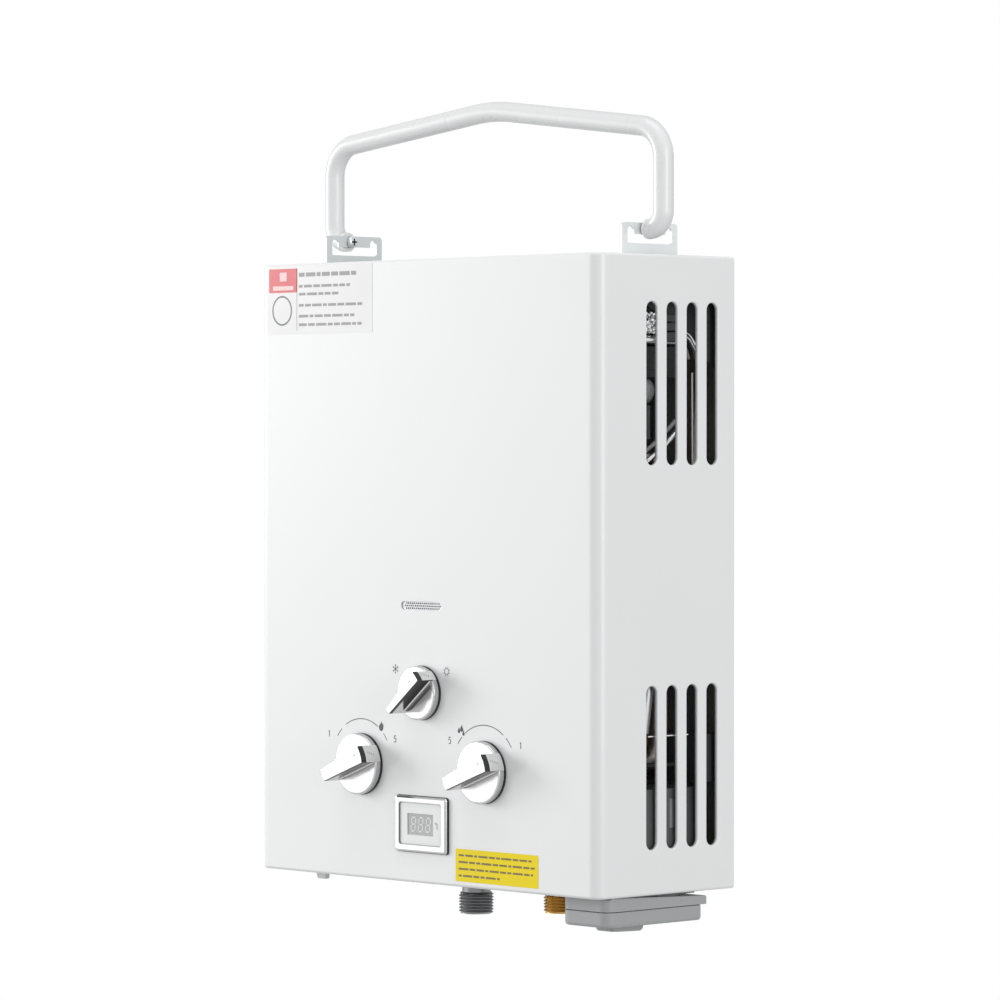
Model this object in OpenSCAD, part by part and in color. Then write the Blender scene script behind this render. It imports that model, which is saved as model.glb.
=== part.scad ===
// Portable tankless water heater with a fold-down carrying handle.
// Lengths are in millimetres. Pieces are laid out with x from the middle of the
// casing, y back from its front face and z up from its bottom. The last step moves
// the origin to the middle of the rear face, so the front looks along -Y.

/* [Casing] */
// Width of the casing
casing_w = 296; // [292:1:304]
// Height of the casing
casing_h = 370; // [366:1:380]
// Depth of the casing
casing_d = 112; // [111:0.5:118]
// Thickness of the painted casing sheet
sheet = 0.8; // [0.6:0.1:1]
// Radius of the two upright front corners
corner_r = 8; // [5:0.5:10]
// Play between pieces that sit inside one another
seat_gap = 0.3; // [0.25:0.05:0.35]
// Radial clearance of turning and fitted shafts
fit_gap = 0.05; // [0.03:0.01:0.08]

/* [Side vents] */
// Slots in each group
vent_count = 4; // [2:1:4]
// Width of one slot
vent_w = 8.8; // [6:0.2:10]
// Length of one slot
vent_len = 94.4; // [60:1:100]
// Distance between slots
vent_pitch = 16.6; // [15:0.2:17]
// Middle of a group, back from the front face
vent_y = 68.8; // [64:0.5:71]
// Height of the middle of the lower group
vent_low_z = 73.5; // [64:0.5:80]
// Distance of the upper group's middle below the top of the casing
vent_drop = 74.6; // [70:0.2:85]
// How far the lip of a slot is rolled inward
vent_lip = 2.2; // [1.4:0.1:2.4]

/* [Top grille] */
// Exhaust slots in each row
flue_slots = 9; // [5:1:9]
// Length of an exhaust slot along the depth
flue_slot_len = 16; // [10:1:20]
// Width of an exhaust slot
flue_slot_w = 5; // [4:0.5:7]
// Distance between exhaust slots
flue_pitch = 13; // [10:0.5:14]

/* [Back plate] */
// Thickness of the back plate
plate_t = 1; // [0.8:0.1:1.2]
// Depth of the flange round the back plate
plate_flange = 12; // [11:0.5:13]
// Distance between the hanging keyholes
keyhole_pitch = 120; // [100:5:140]
// Distance of the hanging keyholes below the top of the casing
keyhole_drop = 35; // [30:1:45]
// Radius of the round end of a keyhole
keyhole_r = 4.5; // [4:0.25:5.5]
// Distance between the lower wall screw holes
wall_hole_pitch = 160; // [140:5:165]
// Height of the lower wall screw holes
wall_hole_z = 16; // [14:1:20]
// Radius of a lower wall screw hole
wall_hole_r = 2.5; // [2:0.25:3]
// Radius of the rivets in the back plate
rivet_r = 2; // [1.5:0.25:2.25]

/* [Handle brackets] */
// Width of a bracket tab along the depth
tab_w = 45.8; // [42:0.5:48]
// Height of a bracket tab above the casing
tab_rise = 18.8; // [18.6:0.1:20]
// Thickness of a bracket
bracket_t = 1.5; // [1.2:0.1:1.8]
// Distance of a bracket's middle from the side of the casing
bracket_inset = 19.5; // [19:0.1:20.5]
// Middle of a tab, back from the front face
tab_y = 60.6; // [58:0.5:61]
// Width of the band at each end of the tab's slot
tab_side = 4.6; // [4:0.2:6]
// Depth of the slot's floor below the top of the tab
slot_drop = 12; // [11:0.2:13]
// Depth of the tongue between the two notches
tongue_drop = 6.7; // [6.5:0.1:7.2]
// Width of each notch
notch_w = 5.3; // [4:0.1:6]

/* [Handle] */
// Outer diameter of the handle tube
tube_d = 12; // [11:0.25:12.5]
// Wall of the handle tube
tube_wall = 1.2; // [1:0.1:1.4]
// Distance of a leg's middle from the side of the casing
leg_inset = 5; // [4.5:0.1:5.5]
// Height of the handle's pivot above the casing
pivot_rise = 15.2; // [15:0.1:15.4]
// Place of the pivot, back from the front face
pivot_y = 58; // [56:0.5:61]
// Height above the pivot at which the two top bars would meet
apex_rise = 75.1; // [70:0.5:85]
// Height above the pivot at which a leg would meet its top bar
shoulder_rise = 58.1; // [52:0.5:62]
// Radius of the bend at each shoulder
shoulder_r = 20; // [16:0.5:24]
// Radius of the bend in the middle
apex_r = 130; // [60:5:180]
// Thickness of the spring washer at each pivot
washer_t = 1; // [0.8:0.1:1.2]
// Thickness of the flange of each end plug
plug_flange = 1.75; // [1.4:0.05:2]
// Radius of the pivot screws
pivot_screw_r = 1.95; // [1.7:0.05:2]

/* [Knobs] */
// Diameter of the gas and water knobs
knob_d = 36.6; // [32:0.2:40]
// Diameter of the season knob
season_knob_d = 32; // [28:0.2:34]
// Distance between the gas and the water knob
knob_pitch = 107; // [104:0.5:109]
// Height of the gas and water knobs
knob_z = 68.5; // [67:0.5:70]
// Height of the season knob
season_z = 113; // [111:0.5:114]
// Thickness of a knob's disc
disc_t = 4.1; // [3:0.1:4.5]
// Gap between a knob and the front face
knob_gap = 1.4; // [1:0.1:2]
// Height of a knob's grip above its disc
grip_h = 11.5; // [9:0.1:12]
// Width of the grip of the gas and water knobs at its nose
grip_w = 10.6; // [8:0.2:11.4]
// Width of the grip of the season knob at its nose
season_grip_w = 6.8; // [6:0.2:9]
// How much narrower a grip is at its other end
grip_taper = 3.2; // [2:0.2:4]
// Angle of the gas knob at rest, above the horizontal
gas_turn = 23; // [20:1:35]
// Angle of the water knob at rest, above the horizontal
water_turn = 23; // [18:1:35]
// Angle of the season knob at rest, above the horizontal
season_turn = 42; // [35:1:50]
// Radius of the valve spindles
spindle_r = 3; // [2.5:0.1:3.2]
// Radius of the holes for the spindles in the casing
spindle_hole_r = 7; // [5:0.5:9]

/* [Sight slot] */
// Width of the sight slot
sight_w = 34.4; // [30:0.2:38]
// Height of the sight slot
sight_h = 4.9; // [4.5:0.1:5.5]
// Height of the middle of the sight slot
sight_z = 164.4; // [163:0.2:165]
// Holes in a row of the sight mesh
sight_holes = 18; // [8:1:18]
// Distance between the holes of the sight mesh
sight_pitch = 1.76; // [1.7:0.02:1.8]
// Radius of a hole of the sight mesh
sight_hole_r = 0.55; // [0.4:0.05:0.6]

/* [Display] */
// Width of the display bezel
bezel_w = 45; // [44:0.5:48]
// Height of the display bezel
bezel_h = 33; // [32:0.5:34]
// Height of the middle of the display
display_z = 35; // [34:0.5:36]
// Thickness of the bezel in front of the casing
bezel_t = 2.5; // [2.2:0.1:3]
// Width of the frame round the display's face plate
bezel_rim = 4.2; // [4:0.1:4.4]
// Width of the digit window
digits_w = 22.4; // [18:0.2:24]
// Height of the digit window
digits_h = 12.7; // [10:0.2:14]

/* [Labels] */
// Width of the corner label
corner_label_w = 96; // [80:1:98]
// Height of the corner label
corner_label_h = 41.4; // [30:0.2:44]
// Width of the yellow label
note_label_w = 70; // [60:1:74]
// Height of the yellow label
note_label_h = 19.2; // [15:0.2:20]
// Thickness of the labels
label_t = 0.2; // [0.1:0.05:0.3]

/* [Connections] */
// Outer diameter of the pipe threads
thread_d = 20.956; // [20.9:0.004:21]
// Pitch of the pipe threads
thread_pitch = 1.814; // [1.8:0.002:1.82]
// Depth of the pipe threads
thread_depth = 1.16; // [1:0.02:1.2]
// Place of the gas and water inlets, back from the front face
inlet_y = 44; // [42:0.5:46]
// Distance of the water inlet from the battery box
water_inset = 32.8; // [30:0.2:35]
// How far the gas inlet reaches below the casing
gas_drop = 20.4; // [19:0.2:24]
// How far the water inlet reaches below the casing
water_drop = 15; // [14:0.2:22]
// How far the hot outlet reaches below the casing
outlet_drop = 8.6; // [7.4:0.1:14]
// Distance of the hot outlet from the side of the casing
outlet_inset = 38; // [36:0.5:40]
// Crests on the gas inlet
gas_crests = 7; // [5:1:7]
// Crests on the water inlet
water_crests = 6; // [4:1:7]
// Crests on the hot outlet
outlet_crests = 4; // [3:1:4]
// Radius of the bores of the connections
bore_r = 5.5; // [4.5:0.25:6]

/* [Battery box] */
// Width of the battery box
box_w = 39; // [39:0.1:40]
// Length of the visible part of the battery box
box_l = 82; // [81:0.5:84]
// Distance of the box from the side of the casing
box_inset = 3.4; // [3:0.1:4]
// Place of the box's front, back from the front face
box_front = 11; // [10:0.5:12]
// Height of the box inside the casing
box_top = 60.7; // [60.5:0.1:62]
// Depth of the seam between the box and its door
seam_drop = 8.2; // [7.8:0.1:8.6]
// Depth of the door's underside below the casing
door_drop = 17.3; // [16.5:0.1:19]
// Wall of the battery box
box_wall = 1.2; // [1:0.1:1.2]
// Radius of the box's upright front corners
box_r = 7; // [5:0.5:8]
// Radius of a D cell
cell_r = 17.1; // [16.6:0.1:17.1]
// Length of a D cell
cell_l = 61.5; // [60:0.1:61.5]
// Radius of the door's hinge pin
hinge_pin_r = 1.2; // [0.9:0.05:1.3]

/* [Burner and heat exchanger] */
// Distance from the combustion chamber to the side of the casing
chamber_inset = 60; // [59:0.5:64]
// Depth of the combustion chamber
chamber_d = 82; // [80:0.5:83]
// Place of the chamber's front wall, back from the front face
chamber_y = 20; // [19.5:0.5:21]
// Height of the bottom of the combustion chamber
chamber_z = 168; // [167.5:0.5:172]
// Distance of the fins' underside below the top of the casing
fins_drop = 78; // [77:0.5:82]
// Height of the fins
fins_h = 38; // [36:0.5:39]
// Number of fins
fin_count = 33; // [15:2:37]
// Thickness of a fin
fin_t = 0.6; // [0.5:0.1:1]
// Number of burner bars
burner_count = 7; // [5:2:7]
// Width of a burner bar
burner_bar_w = 9; // [8:0.5:10]
// Radius of the water pipes
pipe_r = 6; // [5:0.25:6.5]
// Wall of the water pipes
pipe_wall = 0.8; // [0.6:0.1:1]
// Distance between the passes of the heat exchanger pipe
pass_pitch = 24; // [22:0.5:24.5]
// Radius of the insulated leads
lead_r = 1.5; // [1:0.1:1.6]

/* [Hidden] */
$fn = 48;
cut = 1;

half_w = casing_w / 2;
inner_half_w = half_w - sheet;
plate_face_y = casing_d - plate_t;
plate_half_w = inner_half_w - seat_gap;
plate_bottom_z = sheet + seat_gap;
plate_top_z = casing_h - sheet - seat_gap;
screw_x = half_w - 60;
vent_high_z = casing_h - vent_drop;
keyhole_z = casing_h - keyhole_drop;
screw_y = casing_d - 7;
screw_r = 1.9;
bead_zs = [chamber_z - 28, casing_h - 65];
bead_l = 190;
bead_w = 8;
bead_d = 1.5;

bracket_x = half_w - bracket_inset;
pivot_z = casing_h + pivot_rise;
tab_top_z = casing_h + tab_rise;
arm_top_z = plate_top_z - plate_t - seat_gap;
arm_bottom_z = casing_h - 48;
arm_nose_z = casing_h - 20;
foot_w = 14;
bracket_rivet_zs = [casing_h - 40, casing_h - 14];
bracket_rivet_x = bracket_x - bracket_t / 2 - foot_w / 2 - 1;

leg_x = half_w - leg_inset;
tube_r = tube_d / 2;
washer_x = bracket_x + bracket_t / 2 + seat_gap;
tube_end_x = washer_x + washer_t + plug_flange;
foot_r = leg_x - tube_end_x;
bar_angle = atan((apex_rise - shoulder_rise) / leg_x);
shoulder_tangent = shoulder_r * tan((90 - bar_angle) / 2);
shoulder_z = pivot_z + shoulder_rise - shoulder_tangent;
bar_length = leg_x / cos(bar_angle) - shoulder_tangent - apex_r * tan(bar_angle);
plug_spigot_l = 2.2;
plug_spigot_r = tube_r - tube_wall - 0.4;
pan_r = 3.6;
pan_h = 2.6;

gas_x = -knob_pitch / 2;
water_knob_x = knob_pitch / 2;
socket_skin = 1.1;
spindle_tip_y = socket_skin - knob_gap - disc_t;
valve_front_y = 30;
valve_back_y = 62;
spindle_seat = 8;
valve_bottom_z = 50;
gas_valve_left = -72;
gas_valve_right = 16;
gas_valve_top_z = 86;
turret_left = -14;
turret_top_z = 120;
water_valve_left = 38;
water_valve_top_z = 92;
spigot_r = 8;
spigot_l = 6;
diaphragm_r = 19;
diaphragm_y = 42.9;
diaphragm_left = 19;
valve_mid_z = (valve_bottom_z + gas_valve_top_z) / 2;
solenoid_r = 11;
solenoid_l = 26;

collar_w = bezel_w - 4;
collar_h = bezel_h - 4;
collar_l = 5.4;
face_w = bezel_w - 2 * bezel_rim;
face_h = bezel_h - 2 * bezel_rim;
face_step = 0.9;
board_y = 2.3;
board_t = 1.6;

box_left = half_w - box_inset - box_w;
box_mid_x = box_left + box_w / 2;
water_x = box_left - water_inset;
water_valve_right = box_left - 13.6;
shaft_w = box_w - 2;
shaft_y = box_front + 1;
shaft_l = 4 * (cell_r + 0.1) + 2 * box_wall;
cell_ys = [shaft_y + box_wall + cell_r + 0.1, shaft_y + box_wall + 3 * (cell_r + 0.1)];
cell_z = box_top - box_wall - 2.6 - cell_l;
box_rear_y = box_front + box_l;
hinge_y = box_rear_y - 2.3;
hinge_z = -seam_drop - 0.8;
hinge_r = 2.3;
knuckle_l = 9;
door_top_z = -seam_drop - seat_gap;
door_rear_y = hinge_y - hinge_r - seat_gap;
door_wall = 1.4;
door_floor_z = -door_drop + 1.6;
tab_xs = 9;

chamber_half_w = half_w - chamber_inset;
outlet_x = half_w - outlet_inset;
label_gap = 6.4;
label_foot = 3.4;
fins_z = casing_h - fins_drop;
chamber_back_y = chamber_y + chamber_d;
chamber_mid_y = chamber_y + chamber_d / 2;
chamber_wall = 1;
hood_z = fins_z + fins_h;
hood_top_z = casing_h - 4;
pass_z = fins_z + fins_h * 0.78;
pass_reach = chamber_half_w + 4;
bend_r = pass_pitch / 2;
first_pass_y = chamber_mid_y - pass_pitch;
last_pass_y = chamber_mid_y + pass_pitch;
strut_x = chamber_half_w - 43;
strut_zs = [chamber_z + 24, fins_z - 8];
strut_half_w = 12;
strut_foot = 12;
strut_rivet_x = strut_half_w + strut_foot / 2 + 1;
strut_rivet_zs = [strut_zs[0] + 10, strut_zs[1] - 10];
manifold_y = 11;
manifold_z = 128;
manifold_h = 14;
manifold_half_d = 6;
burner_z = 122;
frame_half_w = chamber_half_w - 4;
burner_pitch = frame_half_w / 4;
burner_body_z = 134;
burner_top_z = 157;
port_count = 12;
nozzle_r = 2.5;
feed_x = -30;
feed_y = 46;
feed_r = 4.5;
feed_turn_z = 103;

link_left = -60;
link_right = water_valve_right - 14;
link_zs = [58, 82];
link_rivet_zs = [64, 76];

riser_x = half_w - 30;
riser_y = 77;
valve_port_z = 74;
riser_turn_z = fins_z - 40;
cutout_y = 62;
cutout_z = fins_z - 30;
electrode_xs = [26, 38];
electrode_z = 162;
electrode_front_y = 13;
igniter_left = half_w - 52;
igniter_w = 46;
igniter_y = 85;
igniter_z = 63;
igniter_h = 28;
outlet_block_z = 6;
outlet_block_h = 22;
drain_x = 25 - half_w;
drain_y = 30;
drain_r = 5;

// ---------- shared shapes ----------

// moves the build layout to the frame of the part
module place() {
  translate([0, -casing_d, -casing_h / 2]) children();
}

// children on the right, and their mirror image on the left
module both_sides() {
  children();
  mirror([1, 0, 0]) children();
}

// box given by two corners
module block(low, high) {
  translate(low) cube(high - low);
}

// cylinder along +Y from a point
module rod_y(at, r, l) {
  translate(at) rotate([-90, 0, 0]) cylinder(r = r, h = l);
}

// cylinder along +X from a point
module rod_x(at, r, l) {
  translate(at) rotate([0, 90, 0]) cylinder(r = r, h = l);
}

// cylinder along +Z from a point
module rod_z(at, r, l) {
  translate(at) cylinder(r = r, h = l);
}

// rectangle with rounded corners, centred
module rounded_rect(w, h, r) {
  square([w - 2 * r, h], center = true);
  square([w, h - 2 * r], center = true);
  for (sx = [-1, 1])
    for (sy = [-1, 1])
      translate([sx * (w / 2 - r), sy * (h / 2 - r)]) circle(r);
}

// upright slot with round ends, centred
module stadium(w, l) {
  square([w, l - w], center = true);
  for (s = [-1, 1])
    translate([0, s * (l - w) / 2]) circle(w / 2);
}

// plate of a shape drawn in x and z, from y to y + t
module front_plate(y, t) {
  translate([0, y + t, 0]) rotate([90, 0, 0]) linear_extrude(t) children();
}

// plate of a shape drawn in y and z, from x to x + t
module side_plate(x, t) {
  translate([x, 0, 0]) rotate([90, 0, 90]) linear_extrude(t) children();
}

function unit(v) = v / norm(v);
function turned(d) = [d.y, d.z, d.x];

// straight run of a round bar from a to b, along one axis
module straight_run(a, b, r) {
  d = unit(b - a);
  u = turned(d);
  v = cross(d, u);
  multmatrix([[u.x, v.x, d.x, a.x], [u.y, v.y, d.y, a.y], [u.z, v.z, d.z, a.z]])
    cylinder(r = r, h = norm(b - a));
}

// quarter bend round the corner p, coming along d1 and leaving along d2
module quarter_bend(p, d1, d2, bend, r) {
  c = p - bend * d1 + bend * d2;
  n = cross(d1, d2);
  multmatrix([[-d2.x, d1.x, n.x, c.x], [-d2.y, d1.y, n.y, c.y], [-d2.z, d1.z, n.z, c.z]])
    rotate_extrude(angle = 90) translate([bend, 0]) circle(r);
}

// round bar along points that turn by right angles, each with the same bend
module bar_route(points, bend, r) {
  last = len(points) - 1;
  for (i = [0 : last - 1]) {
    d = unit(points[i + 1] - points[i]);
    a = points[i] + (i == 0 ? 0 : bend) * d;
    b = points[i + 1] - (i == last - 1 ? 0 : bend) * d;
    straight_run(a, b, r);
    if (i < last - 1)
      quarter_bend(points[i + 1], d, unit(points[i + 2] - points[i + 1]), bend, r);
  }
}

// hollow pipe along such a route
module pipe_route(points, bend, r, wall) {
  difference() {
    bar_route(points, bend, r);
    bar_route(points, bend, r - wall);
  }
}

// male pipe thread drawn as crests, from z down
module thread_crests(z, crests) {
  root_r = thread_d / 2 - thread_depth;
  flat = thread_pitch * 0.14;
  rotate_extrude()
    polygon(concat(
      [[0, z], [root_r, z]],
      [for (i = [0 : crests - 1])
        each [
          [root_r, z - (i + 0.1) * thread_pitch],
          [thread_d / 2, z - (i + 0.5) * thread_pitch + flat],
          [thread_d / 2, z - (i + 0.5) * thread_pitch - flat],
          [root_r, z - (i + 0.9) * thread_pitch]
        ]],
      [[root_r, z - crests * thread_pitch], [0, z - crests * thread_pitch]]
    ));
}

// ---------- casing ----------

module casing_outline(inset) {
  r = corner_r - inset;
  w = half_w - inset;
  translate([-w, inset + r]) square([2 * w, casing_d - inset - r]);
  translate([-w + r, inset]) square([2 * (w - r), 2 * r]);
  for (s = [-1, 1])
    translate([s * (w - r), inset + r]) circle(r);
}

// every side vent, grown by the given amount
module vent_slots(grow) {
  for (z = [vent_low_z, vent_high_z])
    for (i = [0 : vent_count - 1])
      translate([vent_y + (i - (vent_count - 1) / 2) * vent_pitch, z])
        stadium(vent_w + 2 * grow, vent_len + 2 * grow);
}

module flue_openings() {
  for (row = [-1, 1])
    for (i = [0 : flue_slots - 1])
      translate([(i - (flue_slots - 1) / 2) * flue_pitch, chamber_mid_y + row * (flue_slot_len + 6) / 2])
        stadium(flue_slot_w, flue_slot_len);
}

module bottom_openings() {
  for (x = [0, water_x])
    translate([x, inlet_y]) circle(thread_d / 2 + 1.5);
  translate([-outlet_x, last_pass_y]) circle(thread_d / 2 + 1.5);
  translate([drain_x, drain_y]) circle(drain_r + 1.5);
  translate([box_mid_x, shaft_y + shaft_l / 2])
    square([shaft_w + 2 * seat_gap, shaft_l + 2 * seat_gap], center = true);
}

module screw_openings() {
  for (s = [-1, 1])
    translate([s * screw_x, screw_y]) circle(screw_r + fit_gap);
}

module cover_openings() {
  front_plate(-cut, sheet + 2 * cut) {
    translate([0, sight_z]) rotate(90) stadium(sight_h, sight_w);
    for (s = [-1, 1])
      translate([s * knob_pitch / 2, knob_z]) circle(spindle_hole_r);
    translate([0, season_z]) circle(spindle_hole_r);
    translate([0, display_z]) square([collar_w + 2 * seat_gap, collar_h + 2 * seat_gap], center = true);
  }
  both_sides() side_plate(half_w - vent_lip - cut, vent_lip + 2 * cut) vent_slots(0);
  translate([0, 0, casing_h - sheet - cut]) linear_extrude(sheet + 2 * cut) {
    flue_openings();
    screw_openings();
    for (s = [-1, 1])
      translate([s * bracket_x, tab_y])
        square([bracket_t + 2 * seat_gap, tab_w + 2 * seat_gap], center = true);
  }
  translate([0, 0, -cut]) linear_extrude(sheet + 2 * cut) {
    bottom_openings();
    screw_openings();
  }
}

module front_cover() {
  color("#eeeeee") place() difference() {
    union() {
      difference() {
        linear_extrude(casing_h) casing_outline(0);
        translate([0, 0, sheet]) linear_extrude(casing_h - 2 * sheet) {
          casing_outline(sheet);
          translate([-inner_half_w, casing_d - 2]) square([2 * inner_half_w, 2 + cut]);
        }
      }
      both_sides() side_plate(half_w - vent_lip, vent_lip - sheet / 2) vent_slots(sheet);
    }
    cover_openings();
  }
}

module rivet_places() {
  for (z = bracket_rivet_zs)
    for (s = [-1, 1])
      translate([s * bracket_rivet_x, z]) children();
  for (z = strut_rivet_zs)
    for (s = [-1, 1])
      for (t = [-1, 1])
        translate([s * strut_x + t * strut_rivet_x, z]) children();
  for (z = link_rivet_zs) {
    translate([link_left - strut_foot / 2 - 1, z]) children();
    translate([link_right + strut_foot / 2 + 1, z]) children();
  }
}

module keyhole() {
  circle(keyhole_r);
  translate([0, keyhole_r * 1.9]) stadium(keyhole_r, keyhole_r * 3.8);
}

module back_plate() {
  mid_z = (plate_bottom_z + plate_top_z) / 2;
  plate_h = plate_top_z - plate_bottom_z;
  color("#c9ced1") place() difference() {
    union() {
      front_plate(plate_face_y, plate_t) translate([0, mid_z]) rounded_rect(2 * plate_half_w, plate_h, 3);
      difference() {
        front_plate(plate_face_y - plate_flange, plate_flange) translate([0, mid_z])
          rounded_rect(2 * plate_half_w, plate_h, 3);
        front_plate(plate_face_y - plate_flange - cut, plate_flange + cut) translate([0, mid_z])
          rounded_rect(2 * (plate_half_w - plate_t), plate_h - 2 * plate_t, 2);
      }
      for (z = bead_zs)
        front_plate(plate_face_y - bead_d, bead_d) translate([0, z]) rotate(90) stadium(bead_w, bead_l);
    }
    for (z = bead_zs)
      front_plate(casing_d - bead_d, bead_d + cut) translate([0, z]) rotate(90)
        stadium(bead_w - 2 * plate_t, bead_l - 2 * plate_t);
    front_plate(plate_face_y - cut, plate_t + 2 * cut) {
      for (s = [-1, 1])
        translate([s * keyhole_pitch / 2, keyhole_z]) keyhole();
      for (s = [-1, 1])
        translate([s * wall_hole_pitch / 2, wall_hole_z]) circle(wall_hole_r);
      rivet_places() circle(rivet_r + fit_gap);
    }
    translate([0, 0, -cut]) linear_extrude(casing_h + 2 * cut) screw_openings();
  }
}

module cover_screws() {
  head_r = 3.6;
  head_h = 2;
  shank = 7;
  color("#b9bdc0") place() for (s = [-1, 1])
    for (top = [0, 1])
      translate([s * screw_x, screw_y, top * casing_h]) mirror([0, 0, top]) difference() {
        union() {
          rod_z([0, 0, -head_h], head_r, head_h);
          cylinder(r = screw_r, h = shank);
        }
        for (a = [0, 90])
          rotate(a) translate([0, 0, -head_h]) cube([4, 0.9, 1.8], center = true);
      }
}

module plate_rivets() {
  head_h = 1.2;
  color("#aab0b4") place() rotate([90, 0, 0]) {
    translate([0, 0, -casing_d]) linear_extrude(plate_t + bracket_t) rivet_places() circle(rivet_r);
    translate([0, 0, -plate_face_y + bracket_t]) linear_extrude(head_h)
      rivet_places() circle(rivet_r + 1.4);
  }
}

// ---------- handle brackets and handle ----------

module bracket_plate() {
  window_w = tab_w - 2 * tab_side;
  difference() {
    union() {
      translate([tab_y, tab_top_z - 5]) rounded_rect(tab_w, 10, 2.5);
      translate([tab_y - tab_w / 2, arm_nose_z]) square([tab_w, tab_top_z - 5 - arm_nose_z]);
      polygon([
        [tab_y - tab_w / 2, arm_top_z], [tab_y - tab_w / 2, arm_nose_z],
        [plate_face_y - 12, arm_bottom_z], [plate_face_y, arm_bottom_z], [plate_face_y, arm_top_z]
      ]);
    }
    translate([tab_y, tab_top_z - (slot_drop + tongue_drop) / 2])
      rounded_rect(window_w, slot_drop - tongue_drop, 1.2);
    for (s = [-1, 1])
      translate([tab_y + s * (window_w - notch_w) / 2, tab_top_z - (slot_drop + 0.8) / 2])
        stadium(notch_w, slot_drop - 3.6);
    translate([pivot_y, pivot_z]) circle(pivot_screw_r + fit_gap);
    translate([tab_y + 12, (arm_top_z + arm_nose_z) / 2 - 2]) circle(5);
  }
}

module bracket() {
  difference() {
    union() {
      side_plate(bracket_x - bracket_t / 2, bracket_t) bracket_plate();
      block([bracket_x - bracket_t / 2 - foot_w, plate_face_y - bracket_t, arm_bottom_z],
        [bracket_x, plate_face_y, arm_top_z]);
    }
    for (z = bracket_rivet_zs)
      rod_y([bracket_rivet_x, plate_face_y - bracket_t - cut, z], rivet_r + fit_gap, bracket_t + 2 * cut);
  }
}

module bracket_right() {
  color("#b9bec1") place() bracket();
}

module bracket_left() {
  color("#b9bec1") place() mirror([1, 0, 0]) bracket();
}

// arc of round bar in the plane of the handle
module handle_arc(x, z, bend, start, sweep, r) {
  translate([x, pivot_y, z]) rotate([90, 0, 0]) rotate(start)
    rotate_extrude(angle = sweep, $fn = 160) translate([bend, 0]) circle(r, $fn = 40);
}

// straight runs are a hair thinner than the bends and reach a little way into them
module handle_run(r, l) {
  lap = 0.3;
  translate([0, 0, -lap]) cylinder(r = r - 0.02, h = l + 2 * lap, $fn = 40);
}

module handle_bar(r) {
  both_sides() {
    handle_arc(tube_end_x, pivot_z + foot_r, foot_r, -90, 90, r);
    translate([leg_x, pivot_y, pivot_z + foot_r]) handle_run(r, shoulder_z - pivot_z - foot_r);
    handle_arc(leg_x - shoulder_r, shoulder_z, shoulder_r, 0, 90 - bar_angle, r);
    translate([
      leg_x - shoulder_r + shoulder_r * sin(bar_angle), pivot_y, shoulder_z + shoulder_r * cos(bar_angle)
    ])
      rotate([0, bar_angle - 90, 0]) handle_run(r, bar_length);
  }
  handle_arc(0, pivot_z + apex_rise - apex_r / cos(bar_angle), apex_r, 90 - bar_angle, 2 * bar_angle, r);
}

module handle_tube() {
  color("#ededed") place() difference() {
    handle_bar(tube_r);
    handle_bar(tube_r - tube_wall);
  }
}

module handle_plugs() {
  color("#f2f2f2") place() both_sides() difference() {
    union() {
      rod_x([tube_end_x - plug_flange, pivot_y, pivot_z], tube_r, plug_flange);
      rod_x([tube_end_x - plug_flange, pivot_y, pivot_z], plug_spigot_r, plug_flange + plug_spigot_l);
    }
    rod_x([washer_x, pivot_y, pivot_z], pivot_screw_r + fit_gap, 10);
  }
}

module handle_washers() {
  color("#3c3c3c") place() both_sides() difference() {
    rod_x([washer_x, pivot_y, pivot_z], 3.3, washer_t);
    rod_x([washer_x - cut, pivot_y, pivot_z], pivot_screw_r + fit_gap, washer_t + 2 * cut);
  }
}

module handle_screws() {
  head_x = bracket_x - bracket_t / 2 - seat_gap - pan_h;
  color("#c4c6c8") place() both_sides() difference() {
    union() {
      rod_x([head_x, pivot_y, pivot_z], pan_r, pan_h);
      rod_x([head_x, pivot_y, pivot_z], pivot_screw_r, tube_end_x + plug_spigot_l - head_x);
    }
    translate([head_x, pivot_y, pivot_z]) {
      cube([2, 4, 0.9], center = true);
      cube([2, 0.9, 4], center = true);
    }
  }
}

// ---------- knobs ----------

// tapered grip across a knob's disc, with ends that follow the rim and a nose that reaches down over it
module grip(r, w) {
  low = knob_gap + disc_t - 0.6;
  top = knob_gap + disc_t + grip_h;
  foot = knob_gap + 0.2;
  nose_r = r + 0.6;
  intersection() {
    rod_y([0, -top, 0], nose_r, top);
    rotate([90, 0, 0]) linear_extrude(top + 1) polygon([
      [-nose_r - 1, grip_taper / 2 - w / 2], [nose_r, -w / 2],
      [nose_r, w / 2], [-nose_r - 1, w / 2 - grip_taper / 2]
    ]);
    translate([0, 0, -w]) linear_extrude(2 * w) mirror([0, 1]) polygon([
      [-nose_r, top], [-nose_r, low], [r - 3, low], [r - 3, foot], [nose_r, foot], [nose_r, top]
    ]);
  }
}

module knob(x, z, d, turn, w) {
  r = d / 2;
  color("#cfd1d4") place() translate([x, 0, z]) rotate([0, -turn, 0]) difference() {
    union() {
      rotate([90, 0, 0]) rotate_extrude($fn = 96) polygon([
        [0, knob_gap], [r - 0.5, knob_gap], [r, knob_gap + 0.5], [r, knob_gap + disc_t - 0.8],
        [r - 0.8, knob_gap + disc_t], [0, knob_gap + disc_t]
      ]);
      grip(r, w);
    }
    rod_y([0, spindle_tip_y - seat_gap, 0], spindle_r + fit_gap, disc_t);
  }
}

module spindle(x, z) {
  color("#c8b87c") place() rod_y([x, spindle_tip_y, z], spindle_r,
    valve_front_y + spindle_seat - seat_gap - spindle_tip_y);
}

module gas_knob() {
  knob(gas_x, knob_z, knob_d, gas_turn, grip_w);
}

module water_knob() {
  knob(water_knob_x, knob_z, knob_d, water_turn, grip_w);
}

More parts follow.
